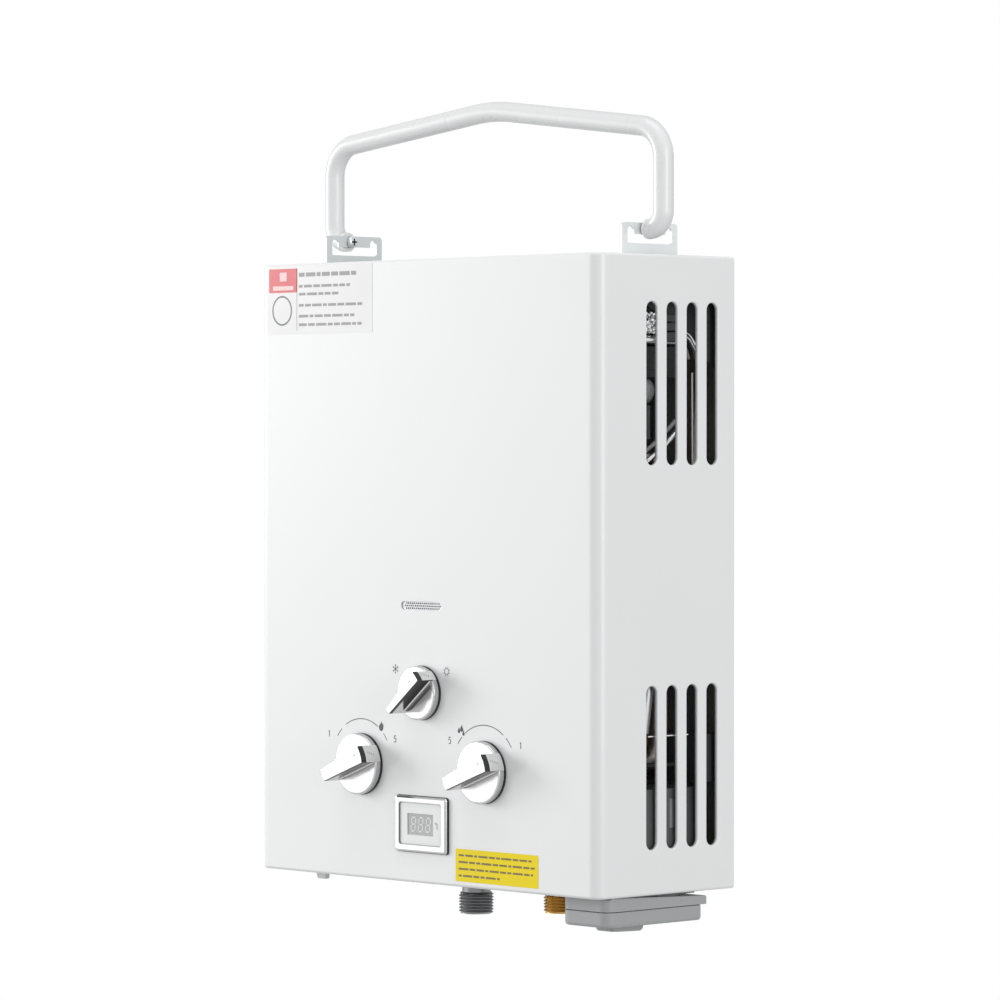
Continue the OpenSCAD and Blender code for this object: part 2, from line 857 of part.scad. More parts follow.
module season_knob() {
  knob(0, season_z, season_knob_d, season_turn, season_grip_w);
}

module gas_spindle() {
  spindle(gas_x, knob_z);
}

module water_spindle() {
  spindle(water_knob_x, knob_z);
}

module season_spindle() {
  spindle(0, season_z);
}

// ---------- front panel pieces ----------

module sight_mesh() {
  mesh_t = 0.6;
  color("#8f9396") place() front_plate(sheet, mesh_t) difference() {
    translate([0, sight_z]) square([sight_w + 8, sight_h + 7], center = true);
    for (row = [-1, 0, 1])
      for (i = [0 : sight_holes - 1])
        translate([(i - (sight_holes - 1) / 2 + abs(row) / 2 - 0.25) * sight_pitch, sight_z + row * 1.5])
          circle(sight_hole_r, $fn = 16);
  }
}

module display_bezel() {
  edge = 0.8;
  color("#d0d2d4") place() translate([0, 0, display_z]) difference() {
    union() {
      front_plate(-bezel_t + edge, bezel_t - edge) rounded_rect(bezel_w, bezel_h, 1.5);
      front_plate(-bezel_t, bezel_t) rounded_rect(bezel_w - 2 * edge, bezel_h - 2 * edge, 1.2);
      front_plate(0, collar_l) square([collar_w, collar_h], center = true);
    }
    front_plate(-bezel_t - cut, bezel_t + collar_l + 2 * cut)
      square([face_w + 2 * fit_gap, face_h + 2 * fit_gap], center = true);
    front_plate(-face_step, collar_l + 3) square([face_w + 2, face_h + 2], center = true);
  }
}

module display_face() {
  flange = 1.9;
  color("#eceff0") place() translate([0, 0, display_z]) difference() {
    union() {
      front_plate(-1.7, 1.7) square([face_w, face_h], center = true);
      front_plate(-face_step, face_step + 0.3) square([face_w + flange, face_h + flange], center = true);
    }
    front_plate(-4, 8) square([digits_w + 2 * fit_gap, digits_h + 2 * fit_gap], center = true);
  }
}

module display_digits() {
  color("#b7b9ba") place() translate([0, 0, display_z]) {
    front_plate(-1.5, 2) square([digits_w, digits_h], center = true);
    front_plate(0.3, board_y - 0.3) square([digits_w + 4, digits_h + 4], center = true);
  }
}

module display_board() {
  color("#2f5d3a") place() translate([0, 0, display_z]) {
    front_plate(board_y, board_t) square([face_w + 1.8, face_h + 1.8], center = true);
    front_plate(board_y + board_t, 1.6) translate([-8, 3]) square([10, 7], center = true);
    front_plate(board_y + board_t, 4) translate([12, -6]) square([8, 5], center = true);
  }
}

module corner_label() {
  color("#ececea") place() front_plate(-label_t, label_t)
    translate([-half_w + corner_r + corner_label_w / 2, casing_h - 1.2 - corner_label_h / 2])
      rounded_rect(corner_label_w, corner_label_h, 1);
}

module note_label() {
  color("#ead450") place() front_plate(-label_t, label_t)
    translate([bezel_w / 2 + label_gap + note_label_w / 2, label_foot + note_label_h / 2])
      rounded_rect(note_label_w, note_label_h, 0.8);
}

// ---------- connections ----------

// male connection with a hexagon, from its lower end up to the valve
module connection(drop, crests, bore) {
  hex_z = 8;
  thread_top = crests * thread_pitch - drop;
  difference() {
    union() {
      thread_crests(thread_top, crests);
      rod_z([0, 0, thread_top - 0.01], spigot_r - 0.6, valve_bottom_z + spigot_l - seat_gap - thread_top);
      rod_z([0, 0, sheet + seat_gap], spigot_r + 1.2, valve_bottom_z - sheet - seat_gap);
      rod_z([0, 0, valve_bottom_z - 1], spigot_r, spigot_l + 1 - seat_gap);
      translate([0, 0, hex_z]) cylinder(r = 13.8, h = 9, $fn = 6);
    }
    rod_z([0, 0, -drop - cut], bore, drop + valve_bottom_z + spigot_l + 2 * cut);
  }
}

module gas_inlet() {
  color("#4a4c4e") place() translate([0, inlet_y, 0]) connection(gas_drop, gas_crests, bore_r);
}

module water_inlet() {
  color("#b08a4a") place() translate([water_x, inlet_y, 0]) connection(water_drop, water_crests, bore_r);
}

module hot_outlet() {
  top = outlet_block_z + outlet_block_h;
  arm_top = outlet_block_z + 12;
  thread_top = outlet_crests * thread_pitch - outlet_drop;
  color("#b08a4a") place() difference() {
    union() {
      translate([-outlet_x, last_pass_y, 0]) {
        thread_crests(thread_top, outlet_crests);
        rod_z([0, 0, thread_top - 0.01], thread_d / 2 - thread_depth, outlet_block_z + 1 - thread_top);
      }
      block([-outlet_x - 13, last_pass_y - 13, outlet_block_z], [-outlet_x + 13, plate_face_y, top]);
      block([drain_x - 7, drain_y - 8, outlet_block_z], [drain_x + 7, last_pass_y, arm_top]);
    }
    rod_z([-outlet_x, last_pass_y, -outlet_drop - cut], bore_r, outlet_drop + top);
    rod_z([-outlet_x, last_pass_y, top - spindle_seat], pipe_r + fit_gap, spindle_seat + cut);
    rod_z([drain_x, drain_y, outlet_block_z - cut], drain_r + fit_gap, 9 + cut);
    rod_y([drain_x, drain_y, outlet_block_z + 6], 2.2, last_pass_y - drain_y);
    rod_x([drain_x, last_pass_y, outlet_block_z + 6], 2.2, -outlet_x - drain_x);
  }
}

module drain_plug() {
  color("#bcbfc1") place() translate([drain_x, drain_y, 0]) {
    rod_z([0, 0, -1], drain_r, outlet_block_z + 4.6);
    front_plate(-1.7, 3.4) polygon([[-5, -0.5], [-3.8, -8], [3.8, -8], [5, -0.5]]);
  }
}

// ---------- gas and water valves ----------

module gas_valve() {
  color("#9fa3a6") place() difference() {
    union() {
      block(
        [gas_valve_left, valve_front_y, valve_bottom_z],
        [gas_valve_right, valve_back_y, gas_valve_top_z]
      );
      block([turret_left, valve_front_y, valve_bottom_z], [gas_valve_right, valve_back_y, turret_top_z]);
      rod_y([gas_x, valve_front_y - 4, knob_z], 9, 5);
      rod_y([0, valve_front_y - 4, season_z], 6.8, 5);
    }
    for (at = [[gas_x, knob_z], [0, season_z]])
      rod_y([at.x, valve_front_y - 5, at.y], spindle_r + fit_gap, spindle_seat + 5);
    rod_z([0, inlet_y, valve_bottom_z - cut], spigot_r + fit_gap, spigot_l + cut);
    rod_z([feed_x, feed_y, gas_valve_top_z - 5], feed_r + fit_gap, 5 + cut);
  }
}

module gas_solenoid() {
  color("#5d6a74") place() {
    rod_x([gas_valve_left - solenoid_l, feed_y, valve_mid_z], solenoid_r, solenoid_l);
    rod_x([gas_valve_left - solenoid_l - 4, feed_y, valve_mid_z], 4, 5);
    block(
      [gas_valve_left - 3, feed_y - 13, valve_mid_z - 13],
      [gas_valve_left, feed_y + 13, valve_mid_z + 13]
    );
  }
}

module gas_feed_pipe() {
  color("#c3c6c8") place() pipe_route([
    [feed_x, feed_y, gas_valve_top_z - 5], [feed_x, feed_y, feed_turn_z],
    [feed_x, manifold_y, feed_turn_z], [feed_x, manifold_y, manifold_z - manifold_h / 2]
  ], 9, feed_r, 0.8);
}

module gas_manifold() {
  half_l = 3 * burner_pitch + 9;
  color("#a9adb0") place() difference() {
    block([-half_l, manifold_y - manifold_half_d, manifold_z - manifold_h / 2],
      [half_l, manifold_y + manifold_half_d, manifold_z + manifold_h / 2]);
    block([-half_l + 1.5, manifold_y - manifold_half_d + 1.5, manifold_z - manifold_h / 2 + 1.5],
      [half_l - 1.5, manifold_y + manifold_half_d - 1.5, manifold_z + manifold_h / 2 - 1.5]);
    rod_z([feed_x, manifold_y, manifold_z - manifold_h], feed_r - 0.8, manifold_h);
    for (i = [0 : burner_count - 1])
      rod_y([burner_at(i), manifold_y, manifold_z], nozzle_r + fit_gap, manifold_half_d + cut);
  }
}

function burner_at(i) = (i - (burner_count - 1) / 2) * burner_pitch;

module gas_nozzles() {
  color("#b6924f") place() for (i = [0 : burner_count - 1])
    difference() {
      union() {
        rod_y([burner_at(i), manifold_y + manifold_half_d - 1.5, manifold_z], nozzle_r, 5);
        translate([burner_at(i), manifold_y + manifold_half_d, manifold_z]) rotate([-90, 0, 0])
          cylinder(r = 3.4, h = 1.6, $fn = 6);
      }
      rod_y([burner_at(i), manifold_y, manifold_z], 0.6, 20);
    }
}

module water_valve() {
  color("#b79a5e") place() difference() {
    union() {
      block([water_valve_left, valve_front_y, valve_bottom_z],
        [water_valve_right, valve_back_y, water_valve_top_z]);
      rod_y([water_knob_x, valve_front_y - 4, knob_z], 9, 5);
    }
    rod_y([water_knob_x, valve_front_y - 5, knob_z], spindle_r + fit_gap, spindle_seat + 5);
    rod_z([water_x, inlet_y, valve_bottom_z - cut], spigot_r + fit_gap, spigot_l + cut);
    rod_x([water_valve_right - 6, feed_y, valve_port_z], pipe_r + fit_gap, 6 + cut);
  }
}

module diaphragm_housing() {
  mid_x = (diaphragm_left + water_valve_left) / 2;
  color("#a78b52") place() {
    rod_x([diaphragm_left, diaphragm_y, valve_mid_z], diaphragm_r - 3, water_valve_left - diaphragm_left);
    rod_x([mid_x - 4, diaphragm_y, valve_mid_z], diaphragm_r, 8);
    rod_x([gas_valve_right, diaphragm_y, valve_mid_z], 6, diaphragm_left - gas_valve_right + 1);
    for (a = [0 : 60 : 300])
      translate([mid_x - 6, diaphragm_y, valve_mid_z]) rotate([a, 0, 0])
        rod_x([0, diaphragm_r - 2.6, 0], 2, 12);
  }
}

module microswitch() {
  base_z = valve_mid_z + diaphragm_r;
  mid_x = (diaphragm_left + water_valve_left) / 2;
  color("#2b2b2b") place() {
    block([mid_x - 4, diaphragm_y - 10, base_z + fit_gap], [mid_x + 4, diaphragm_y + 10, base_z + 11]);
    for (s = [-1, 0, 1])
      block(
        [mid_x - 0.4, diaphragm_y + s * 6 - 1.6, base_z + 10],
        [mid_x + 0.4, diaphragm_y + s * 6 + 1.6, base_z + 16]
      );
  }
}

// bent strip that holds a piece in front of the back plate
module channel_strip(x0, x1, y0, z0, z1, foot) {
  t = bracket_t;
  block([x0, y0, z0], [x1, y0 + t, z1]);
  block([x0, y0, z0], [x0 + t, plate_face_y, z1]);
  block([x1 - t, y0, z0], [x1, plate_face_y, z1]);
  block([x0 - foot, plate_face_y - t, z0], [x0 + t, plate_face_y, z1]);
  block([x1 - t, plate_face_y - t, z0], [x1 + foot, plate_face_y, z1]);
}

module valve_bracket() {
  color("#b9bec1") place() difference() {
    channel_strip(link_left, link_right, valve_back_y, link_zs[0], link_zs[1], strut_foot);
    front_plate(plate_face_y - bracket_t - cut, bracket_t + 2 * cut)
      rivet_places() circle(rivet_r + fit_gap);
  }
}

// ---------- burner, combustion chamber and heat exchanger ----------

module burner_bars() {
  front_y = chamber_y + chamber_wall;
  back_y = chamber_back_y - chamber_wall;
  port_pitch = 6;
  color("#9a9ea1") place() for (i = [0 : burner_count - 1])
    translate([burner_at(i), 0, 0]) difference() {
      union() {
        block([-burner_bar_w / 2, front_y, burner_body_z], [burner_bar_w / 2, back_y, burner_top_z]);
        rod_y([0, front_y + 4, manifold_z + 0.5], 5, 46);
        block([-3, front_y + 4, manifold_z], [3, front_y + 50, burner_body_z + cut]);
      }
      rod_y([0, front_y, manifold_z + 0.5], 4, 40);
      for (j = [0 : port_count - 1])
        translate([0, chamber_mid_y + (j - (port_count - 1) / 2) * port_pitch, burner_top_z])
          cube([burner_bar_w - 2.4, 1.2, 8], center = true);
    }
}

module burner_frame() {
  color("#a4a8ab") place() difference() {
    block([-frame_half_w, chamber_y, burner_z], [frame_half_w, chamber_back_y, chamber_z]);
    block([-frame_half_w + chamber_wall, chamber_y + chamber_wall, burner_z - cut],
      [frame_half_w - chamber_wall, chamber_back_y - chamber_wall, chamber_z + cut]);
    for (i = [0 : burner_count - 1])
      rod_y([burner_at(i), chamber_y - cut, manifold_z], nozzle_r + 1.5, chamber_wall + 2 * cut);
    front_plate(chamber_y - cut, chamber_wall + 2 * cut) {
      translate([0, sight_z - 1.5]) square([sight_w, 6], center = true);
      for (x = electrode_xs)
        translate([x, electrode_z]) circle(2.5 + fit_gap);
    }
  }
}

module chamber_jacket() {
  color("#a08866") place() difference() {
    block([-chamber_half_w, chamber_y, chamber_z], [chamber_half_w, chamber_back_y, fins_z]);
    block([-chamber_half_w + chamber_wall, chamber_y + chamber_wall, chamber_z - cut],
      [chamber_half_w - chamber_wall, chamber_back_y - chamber_wall, fins_z + cut]);
  }
}

module chamber_struts() {
  color("#b9bec1") place() difference() {
    for (s = [-1, 1])
      channel_strip(s * strut_x - strut_half_w, s * strut_x + strut_half_w,
        chamber_back_y, strut_zs[0], strut_zs[1], strut_foot);
    front_plate(plate_face_y - bracket_t - cut, bracket_t + 2 * cut)
      rivet_places() circle(rivet_r + fit_gap);
  }
}

module pass_rods(r, reach) {
  for (y = [first_pass_y, chamber_mid_y, last_pass_y])
    rod_x([-reach, y, pass_z], r, 2 * reach);
}

module exchanger_fins() {
  inner_half = chamber_half_w - chamber_wall;
  fin_pitch = 2 * inner_half / (fin_count + 1);
  color("#b87a4c") place() difference() {
    union() {
      difference() {
        block([-chamber_half_w, chamber_y, fins_z], [chamber_half_w, chamber_back_y, hood_z]);
        block([-inner_half, chamber_y + chamber_wall, fins_z - cut],
          [inner_half, chamber_back_y - chamber_wall, hood_z + cut]);
      }
      for (i = [1 : fin_count])
        translate([-inner_half + i * fin_pitch - fin_t / 2, chamber_y + 0.5, fins_z + 2])
          cube([fin_t, chamber_d - 1, fins_h - 4]);
    }
    pass_rods(pipe_r + fit_gap, chamber_half_w + cut);
  }
}

module exchanger_pipe() {
  color("#b5703f") place() difference() {
    for (r = [pipe_r]) {
      pass_rods(r, pass_reach);
      return_bends(r);
    }
    pass_rods(pipe_r - pipe_wall, pass_reach);
    return_bends(pipe_r - pipe_wall);
    for (end = [[pass_reach, first_pass_y], [-pass_reach - 2, last_pass_y]])
      rod_x([end.x - 0.01, end.y, pass_z], pipe_r - pipe_wall, 2.02);
  }
}

module return_bends(r) {
  translate([-pass_reach, (first_pass_y + chamber_mid_y) / 2, pass_z]) rotate(90)
    rotate_extrude(angle = 180) translate([bend_r, 0]) circle(r);
  translate([pass_reach, (last_pass_y + chamber_mid_y) / 2, pass_z]) rotate(-90)
    rotate_extrude(angle = 180) translate([bend_r, 0]) circle(r);
}

module hood_profile(inset) {
  mouth = chamber_half_w - 24;
  polygon([
    [-chamber_half_w + inset, hood_z - inset * 2], [chamber_half_w - inset, hood_z - inset * 2],
    [chamber_half_w - inset, hood_z + 8], [mouth - inset, hood_top_z + inset * 2],
    [-mouth + inset, hood_top_z + inset * 2], [-chamber_half_w + inset, hood_z + 8]
  ]);
}

module flue_hood() {
  color("#8e9295") place() difference() {
    front_plate(chamber_y, chamber_d) hood_profile(0);
    front_plate(chamber_y + chamber_wall, chamber_d - 2 * chamber_wall) hood_profile(chamber_wall);
  }
}

module cold_pipe() {
  color("#b5703f") place() pipe_route([
    [water_valve_right - 6, feed_y, valve_port_z], [riser_x, feed_y, valve_port_z],
    [riser_x, riser_y, valve_port_z], [riser_x, riser_y, riser_turn_z],
    [riser_x, first_pass_y, riser_turn_z], [riser_x, first_pass_y, pass_z],
    [pass_reach, first_pass_y, pass_z]
  ], bend_r, pipe_r, pipe_wall);
}

module hot_pipe() {
  color("#b5703f") place() pipe_route([
    [-pass_reach, last_pass_y, pass_z], [-outlet_x, last_pass_y, pass_z],
    [-outlet_x, last_pass_y, outlet_block_z + outlet_block_h - spindle_seat]
  ], bend_r, pipe_r, pipe_wall);
}

module thermal_cutout() {
  color("#c9c9c4") place() {
    rod_x([chamber_half_w, cutout_y, cutout_z], 8, 5);
    block(
      [chamber_half_w, cutout_y - 12, cutout_z - 3],
      [chamber_half_w + 0.8, cutout_y + 12, cutout_z + 3]
    );
  }
}

module spark_electrodes() {
  color("#e8e6e0") place() for (x = electrode_xs) {
    rod_y([x, electrode_front_y, electrode_z], 2.5, 14);
    rod_y([x, 26, electrode_z], 0.8, 10);
  }
}

module igniter_box() {
  color("#33363a") place() {
    block(
      [igniter_left, igniter_y, igniter_z],
      [igniter_left + igniter_w, plate_face_y, igniter_z + igniter_h]
    );
    block([igniter_left - 6, plate_face_y - 2, igniter_z + 4],
      [igniter_left, plate_face_y, igniter_z + igniter_h - 4]);
  }
}

// ---------- battery box ----------

// outline of the visible box seen from below, with round front corners
module box_outline(inset, rear_y) {
  r = box_r - inset;
  y0 = box_front + inset;
  translate([box_left + inset, y0 + r]) square([box_w - 2 * inset, rear_y - y0 - r]);
  translate([box_left + box_r, y0]) square([box_w - 2 * box_r, r + 1]);
  for (s = [0, 1])
    translate([box_left + box_r + s * (box_w - 2 * box_r), y0 + r]) circle(r);
}

module box_shaft(inset, z0, z1) {
  block([box_mid_x - shaft_w / 2 + inset, shaft_y + inset, z0],
    [box_mid_x + shaft_w / 2 - inset, shaft_y + shaft_l - inset, z1]);
}

// hinge eyes along the rear of the box, given by their places across it
module hinge_eyes(places, top_y, top_z) {
  for (s = places)
    translate([box_mid_x + s * (knuckle_l + seat_gap) - knuckle_l / 2, 0, 0]) {
      rod_x([0, hinge_y, hinge_z], hinge_r, knuckle_l);
      block(
        [0, min(top_y, hinge_y), min(top_z, hinge_z)],
        [knuckle_l, max(top_y, hinge_y), max(top_z, hinge_z)]
      );
    }
}

module battery_box() {
  pocket_w = knuckle_l + 2 * seat_gap;
  color("#a1a3a4") place() difference() {
    union() {
      translate([0, 0, -seam_drop]) linear_extrude(seam_drop) box_outline(0, box_rear_y);
      box_shaft(0, -seam_drop, box_top);
      hinge_eyes([-1, 1], hinge_y + 1, -seam_drop + 1);
    }
    box_shaft(box_wall, -seam_drop - cut, box_top - box_wall);
    block([box_mid_x - pocket_w / 2, hinge_y - hinge_r - 1, hinge_z - 4],
      [box_mid_x + pocket_w / 2, box_rear_y + cut, hinge_z + hinge_r + seat_gap]);
    rod_x([box_left - cut, hinge_y, hinge_z], hinge_pin_r + fit_gap, box_w + 2 * cut);
    rod_z([box_mid_x + 8, 50, box_top - 2 * box_wall], lead_r + fit_gap, 4 * box_wall);
    side_plate(box_left - cut, box_w + 2 * cut)
      polygon([
        [box_rear_y - 9, 0.5], [box_rear_y - 9, -0.7], [box_rear_y + 1, -3.8], [box_rear_y + 1, 0.5]
      ]);
  }
}

module battery_door() {
  color("#a1a3a4") place() difference() {
    union() {
      difference() {
        translate([0, 0, -door_drop]) linear_extrude(door_drop + door_top_z) box_outline(0, door_rear_y);
        translate([0, 0, door_floor_z]) linear_extrude(20) box_outline(door_wall, door_rear_y - door_wall);
      }
      hinge_eyes([0], door_rear_y - 0.5, hinge_z - hinge_r);
      for (y = [28, 49])
        translate([box_mid_x, y, -door_drop]) rotate([90, 0, 0])
          linear_extrude(y == 28 ? 1.6 : 4, center = true)
          polygon([[-tab_xs, 0.5], [-tab_xs + 2, -4.6], [tab_xs - 2, -4.6], [tab_xs, 0.5]]);
      block([box_mid_x - 1, 28, -door_drop - 4], [box_mid_x + 1, 49, -door_drop + 0.5]);
    }
    rod_x([box_left - cut, hinge_y, hinge_z], hinge_pin_r + fit_gap, box_w + 2 * cut);
  }
}

module hinge_pin() {
  color("#c4c6c8") place() rod_x([box_mid_x - 1.5 * knuckle_l - seat_gap, hinge_y, hinge_z],
    hinge_pin_r, 3 * knuckle_l + 2 * seat_gap);
}

module battery_cells() {
  color("#5b6a78") place() for (y = cell_ys) {
    rod_z([box_mid_x, y, cell_z], cell_r, cell_l - 1.6);
    rod_z([box_mid_x, y, cell_z + cell_l - 2], 4.5, 2);
  }
}

module box_contacts() {
  top = box_top - box_wall;
  leaf_h = top - cell_z - cell_l;
  color("#d2d0c4") place() {
    for (y = cell_ys) {
      block([box_mid_x - 6, y - 12, top - 0.5], [box_mid_x + 6, y + 12, top]);
      side_plate(box_mid_x - 3, 6)
        polygon([
          [y - 8, top], [y, top - leaf_h], [y + 8, top], [y + 7, top], [y, top - leaf_h + 0.5], [y - 7, top]
        ]);
    }
  }
}

module door_contact() {
  base = door_floor_z;
  top = cell_z - seat_gap;
  color("#d2d0c4") place() {
    block([box_mid_x - 7, cell_ys[0] - 13, base], [box_mid_x + 7, cell_ys[1] + 13, base + 0.6]);
    for (y = cell_ys)
      side_plate(box_mid_x - 4, 8)
        polygon([
          [y - 10, base], [y, top], [y + 10, base], [y + 8.8, base], [y, top - 0.9], [y - 8.8, base]
        ]);
  }
}

// ---------- leads ----------

module battery_lead() {
  x = box_mid_x + 8;
  lead_z = box_top + 13;
  color("#1f1f1f") place() bar_route([
    [x, 50, box_top - box_wall], [x, 50, lead_z], [x, igniter_y, lead_z]
  ], 4, lead_r);
}

module ignition_lead() {
  step = 4;
  front_y = 7;
  back_y = plate_face_y - 15;
  color("#8c2f22") place() for (k = [0, 1]) {
    lane_x = chamber_half_w + 16 + step * k;
    lane_z = electrode_z + 9 + 5 * (1 - k);
    bar_route([
      [electrode_xs[k], electrode_front_y, electrode_z], [electrode_xs[k], front_y, electrode_z],
      [electrode_xs[k], front_y, lane_z], [lane_x, front_y, lane_z],
      [lane_x, back_y, lane_z], [lane_x, back_y, igniter_z + igniter_h]
    ], 3, lead_r);
  }
}

module display_lead() {
  lane_x = box_left - 6.1;
  lane_y = 16;
  plug = [12, board_y + board_t + 4, display_z - 6];
  back_y = plate_face_y - 11;
  color("#3a3a3a") place() bar_route([
    plug, [plug.x, lane_y, plug.z], [lane_x, lane_y, plug.z],
    [lane_x, back_y, plug.z], [lane_x, back_y, igniter_z]
  ], 4, lead_r);
}

module cutout_lead() {
  lane_x = chamber_half_w + 11;
  back_y = plate_face_y - 19;
  turn_z = igniter_z + igniter_h + 29;
  color("#2a2a2a") place() bar_route([
    [chamber_half_w + 5, cutout_y, cutout_z], [lane_x, cutout_y, cutout_z],
    [lane_x, cutout_y, turn_z], [lane_x, back_y, turn_z], [lane_x, back_y, igniter_z + igniter_h]
  ], 4, lead_r);
}

front_cover();
back_plate();
cover_screws();
plate_rivets();
bracket_left();
bracket_right();
handle_tube();
handle_plugs();
handle_washers();
handle_screws();
gas_knob();
water_knob();
season_knob();
gas_spindle();
water_spindle();
season_spindle();
sight_mesh();
display_bezel();
display_face();
display_digits();
display_board();
corner_label();
note_label();
gas_inlet();
water_inlet();
hot_outlet();
drain_plug();
gas_valve();
gas_solenoid();
gas_feed_pipe();
gas_manifold();
gas_nozzles();
water_valve();
diaphragm_housing();
microswitch();
valve_bracket();
burner_bars();
burner_frame();
chamber_jacket();
chamber_struts();
exchanger_fins();
exchanger_pipe();
flue_hood();
cold_pipe();
hot_pipe();
thermal_cutout();
spark_electrodes();
igniter_box();
battery_box();
battery_door();
door_contact();
box_contacts();
battery_cells();
hinge_pin();
battery_lead();
ignition_lead();
display_lead();
cutout_lead();
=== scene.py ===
import math
import bpy
import bmesh
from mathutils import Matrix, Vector
from mathutils.geometry import tessellate_polygon


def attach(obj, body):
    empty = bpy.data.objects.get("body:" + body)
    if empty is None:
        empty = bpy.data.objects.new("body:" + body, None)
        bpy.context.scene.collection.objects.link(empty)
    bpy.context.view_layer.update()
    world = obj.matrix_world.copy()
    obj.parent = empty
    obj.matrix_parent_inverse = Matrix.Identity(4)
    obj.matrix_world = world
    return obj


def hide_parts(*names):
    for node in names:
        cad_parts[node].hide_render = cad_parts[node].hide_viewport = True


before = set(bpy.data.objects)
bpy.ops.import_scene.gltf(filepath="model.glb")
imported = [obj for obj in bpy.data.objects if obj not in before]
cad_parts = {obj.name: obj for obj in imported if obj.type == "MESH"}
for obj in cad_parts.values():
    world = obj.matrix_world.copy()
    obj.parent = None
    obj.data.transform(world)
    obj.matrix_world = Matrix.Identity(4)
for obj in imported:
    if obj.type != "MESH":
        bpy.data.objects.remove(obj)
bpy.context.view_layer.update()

MM = 0.001
CASING_W, CASING_H, CASING_D = 296.0, 370.0, 112.0
HALF_W = CASING_W / 2
DIAL_X, DIAL_Z, SEASON_Z = 53.5, 68.5, 113
PIVOT_X, PIVOT_Y, PIVOT_Z = 124.85, 58.0, 385.2
FITTING_Y, WATER_X = 44, 72.8
DRAIN_X, DRAIN_Y = -123, 30
DOOR_X, HINGE_Y, HINGE_Z = 125.1, 90.7, -9


# ---------- mesh helpers: millimetres in the build layout of the casing ----------

def P(x, y, z):
    """Point in row metres: x from the middle, y back from the front face, z up from the bottom, all in mm."""
    return Vector((x * MM, (y - CASING_D) * MM, (z - CASING_H / 2) * MM))


def add_bevel(obj, width, segments=2):
    bevel = obj.modifiers.new("edges", "BEVEL")
    bevel.width = width * MM
    bevel.segments = segments
    bevel.limit_method = "ANGLE"
    bevel.angle_limit = math.radians(30)


def even_normals(obj):
    obj.modifiers.new("even_normals", "WEIGHTED_NORMAL").keep_sharp = True


def new_object(name, bm, finish, smooth=35, bevel=None):
    """Object from a mesh: edges rounded by bevel (width, segments), or sharp past the angle smooth."""
    mesh = bpy.data.meshes.new(name)
    bmesh.ops.recalc_face_normals(bm, faces=bm.faces)
    bm.to_mesh(mesh)
    bm.free()
    obj = bpy.data.objects.new(name, mesh)
    bpy.context.scene.collection.objects.link(obj)
    mesh.materials.append(bpy.data.materials[finish])
    if bevel:
        add_bevel(obj, *bevel)
    if smooth:
        mesh.shade_smooth()
        if not bevel:
            mesh.set_sharp_from_angle(angle=math.radians(smooth))
        even_normals(obj)
    return obj


def paint(node, finish):
    """Gives a piece that keeps its mesh its finish."""
    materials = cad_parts[node].data.materials
    materials.clear()
    materials.append(bpy.data.materials[finish])


def soften(node, width, segments=2):
    """Rounds the edges of a piece that keeps its mesh, and shades it smooth."""
    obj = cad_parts[node]
    obj.data.shade_smooth()
    add_bevel(obj, width, segments)
    even_normals(obj)


def finish_faces(obj, *tests):
    """Gives faces another finish: each of tests is (finish, test on the face's centre and normal)."""
    for finish, test in tests:
        obj.data.materials.append(bpy.data.materials[finish])
        index = len(obj.data.materials) - 1
        for face in obj.data.polygons:
            if test(face.center, face.normal):
                face.material_index = index


def place(obj, body):
    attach(obj, body)


def verts_at(bm, points):
    return [bm.verts.new(p) for p in points]


def band(bm, a, b, closed=True):
    """Faces between two rows of vertices of equal length."""
    n = len(a)
    for i in range(n if closed else n - 1):
        j = (i + 1) % n
        bm.faces.new((a[i], a[j], b[j], b[i]))


def cap(bm, ring):
    try:
        bm.faces.new(ring)
    except ValueError:
        pass


def ring_strip(bm, rings, closed=True, ends=False):
    """Faces between rings of points of equal length, and over the first and last ring if ends is set."""
    verts = [verts_at(bm, ring) for ring in rings]
    for a, b in zip(verts, verts[1:]):
        band(bm, a, b, closed)
    if ends:
        cap(bm, verts[0])
        cap(bm, verts[-1])
    return verts


def fill(bm, loop, holes=()):
    """Flat face with holes; loop and holes are lists of vertices."""
    loops = [loop] + list(holes)
    flat = [v for part in loops for v in part]
    for tri in tessellate_polygon([[v.co for v in part] for part in loops]):
        corner = [flat[i] for i in tri]
        if len(set(corner)) == 3:
            cap(bm, corner)


def polar(cx, cy, r, a):
    return cx + r * math.cos(a), cy + r * math.sin(a)


def arc_2d(cx, cy, r, a0, a1, n):
    """Points along an arc between two angles in degrees, both ends included."""
    return [polar(cx, cy, r, math.radians(a0 + (a1 - a0) * i / n)) for i in range(n + 1)]


def circle_2d(cx, cy, r, n=32):
    return [polar(cx, cy, r, 2 * math.pi * i / n) for i in range(n)]


def stadium_2d(cx, cy, w, length, n=10):
    """Upright slot with round ends, counter-clockwise."""
    h = (length - w) / 2
    return arc_2d(cx, cy + h, w / 2, 0, 180, n) + arc_2d(cx, cy - h, w / 2, 180, 360, n)


def rect_2d(cx, cy, w, h, r=0.0, n=5):
    """Rectangle, counter-clockwise, with round corners where r is given."""
    x, y = w / 2 - r, h / 2 - r
    corners = ((x, -y, -90), (x, y, 0), (-x, y, 90), (-x, -y, 180))
    if not r:
        return [(cx + dx, cy + dy) for dx, dy, a in corners]
    return [p for dx, dy, a in corners for p in arc_2d(cx + dx, cy + dy, r, a, a + 90, n)]


def lathe(bm, profile, to_point, n=64):
    """Turned shape with closed ends: profile is [(r, h)], to_point maps (x, y, h) to a point."""
    ring_strip(bm, [[to_point(x, y, h) for x, y in circle_2d(0, 0, r, n)] for r, h in profile], ends=True)


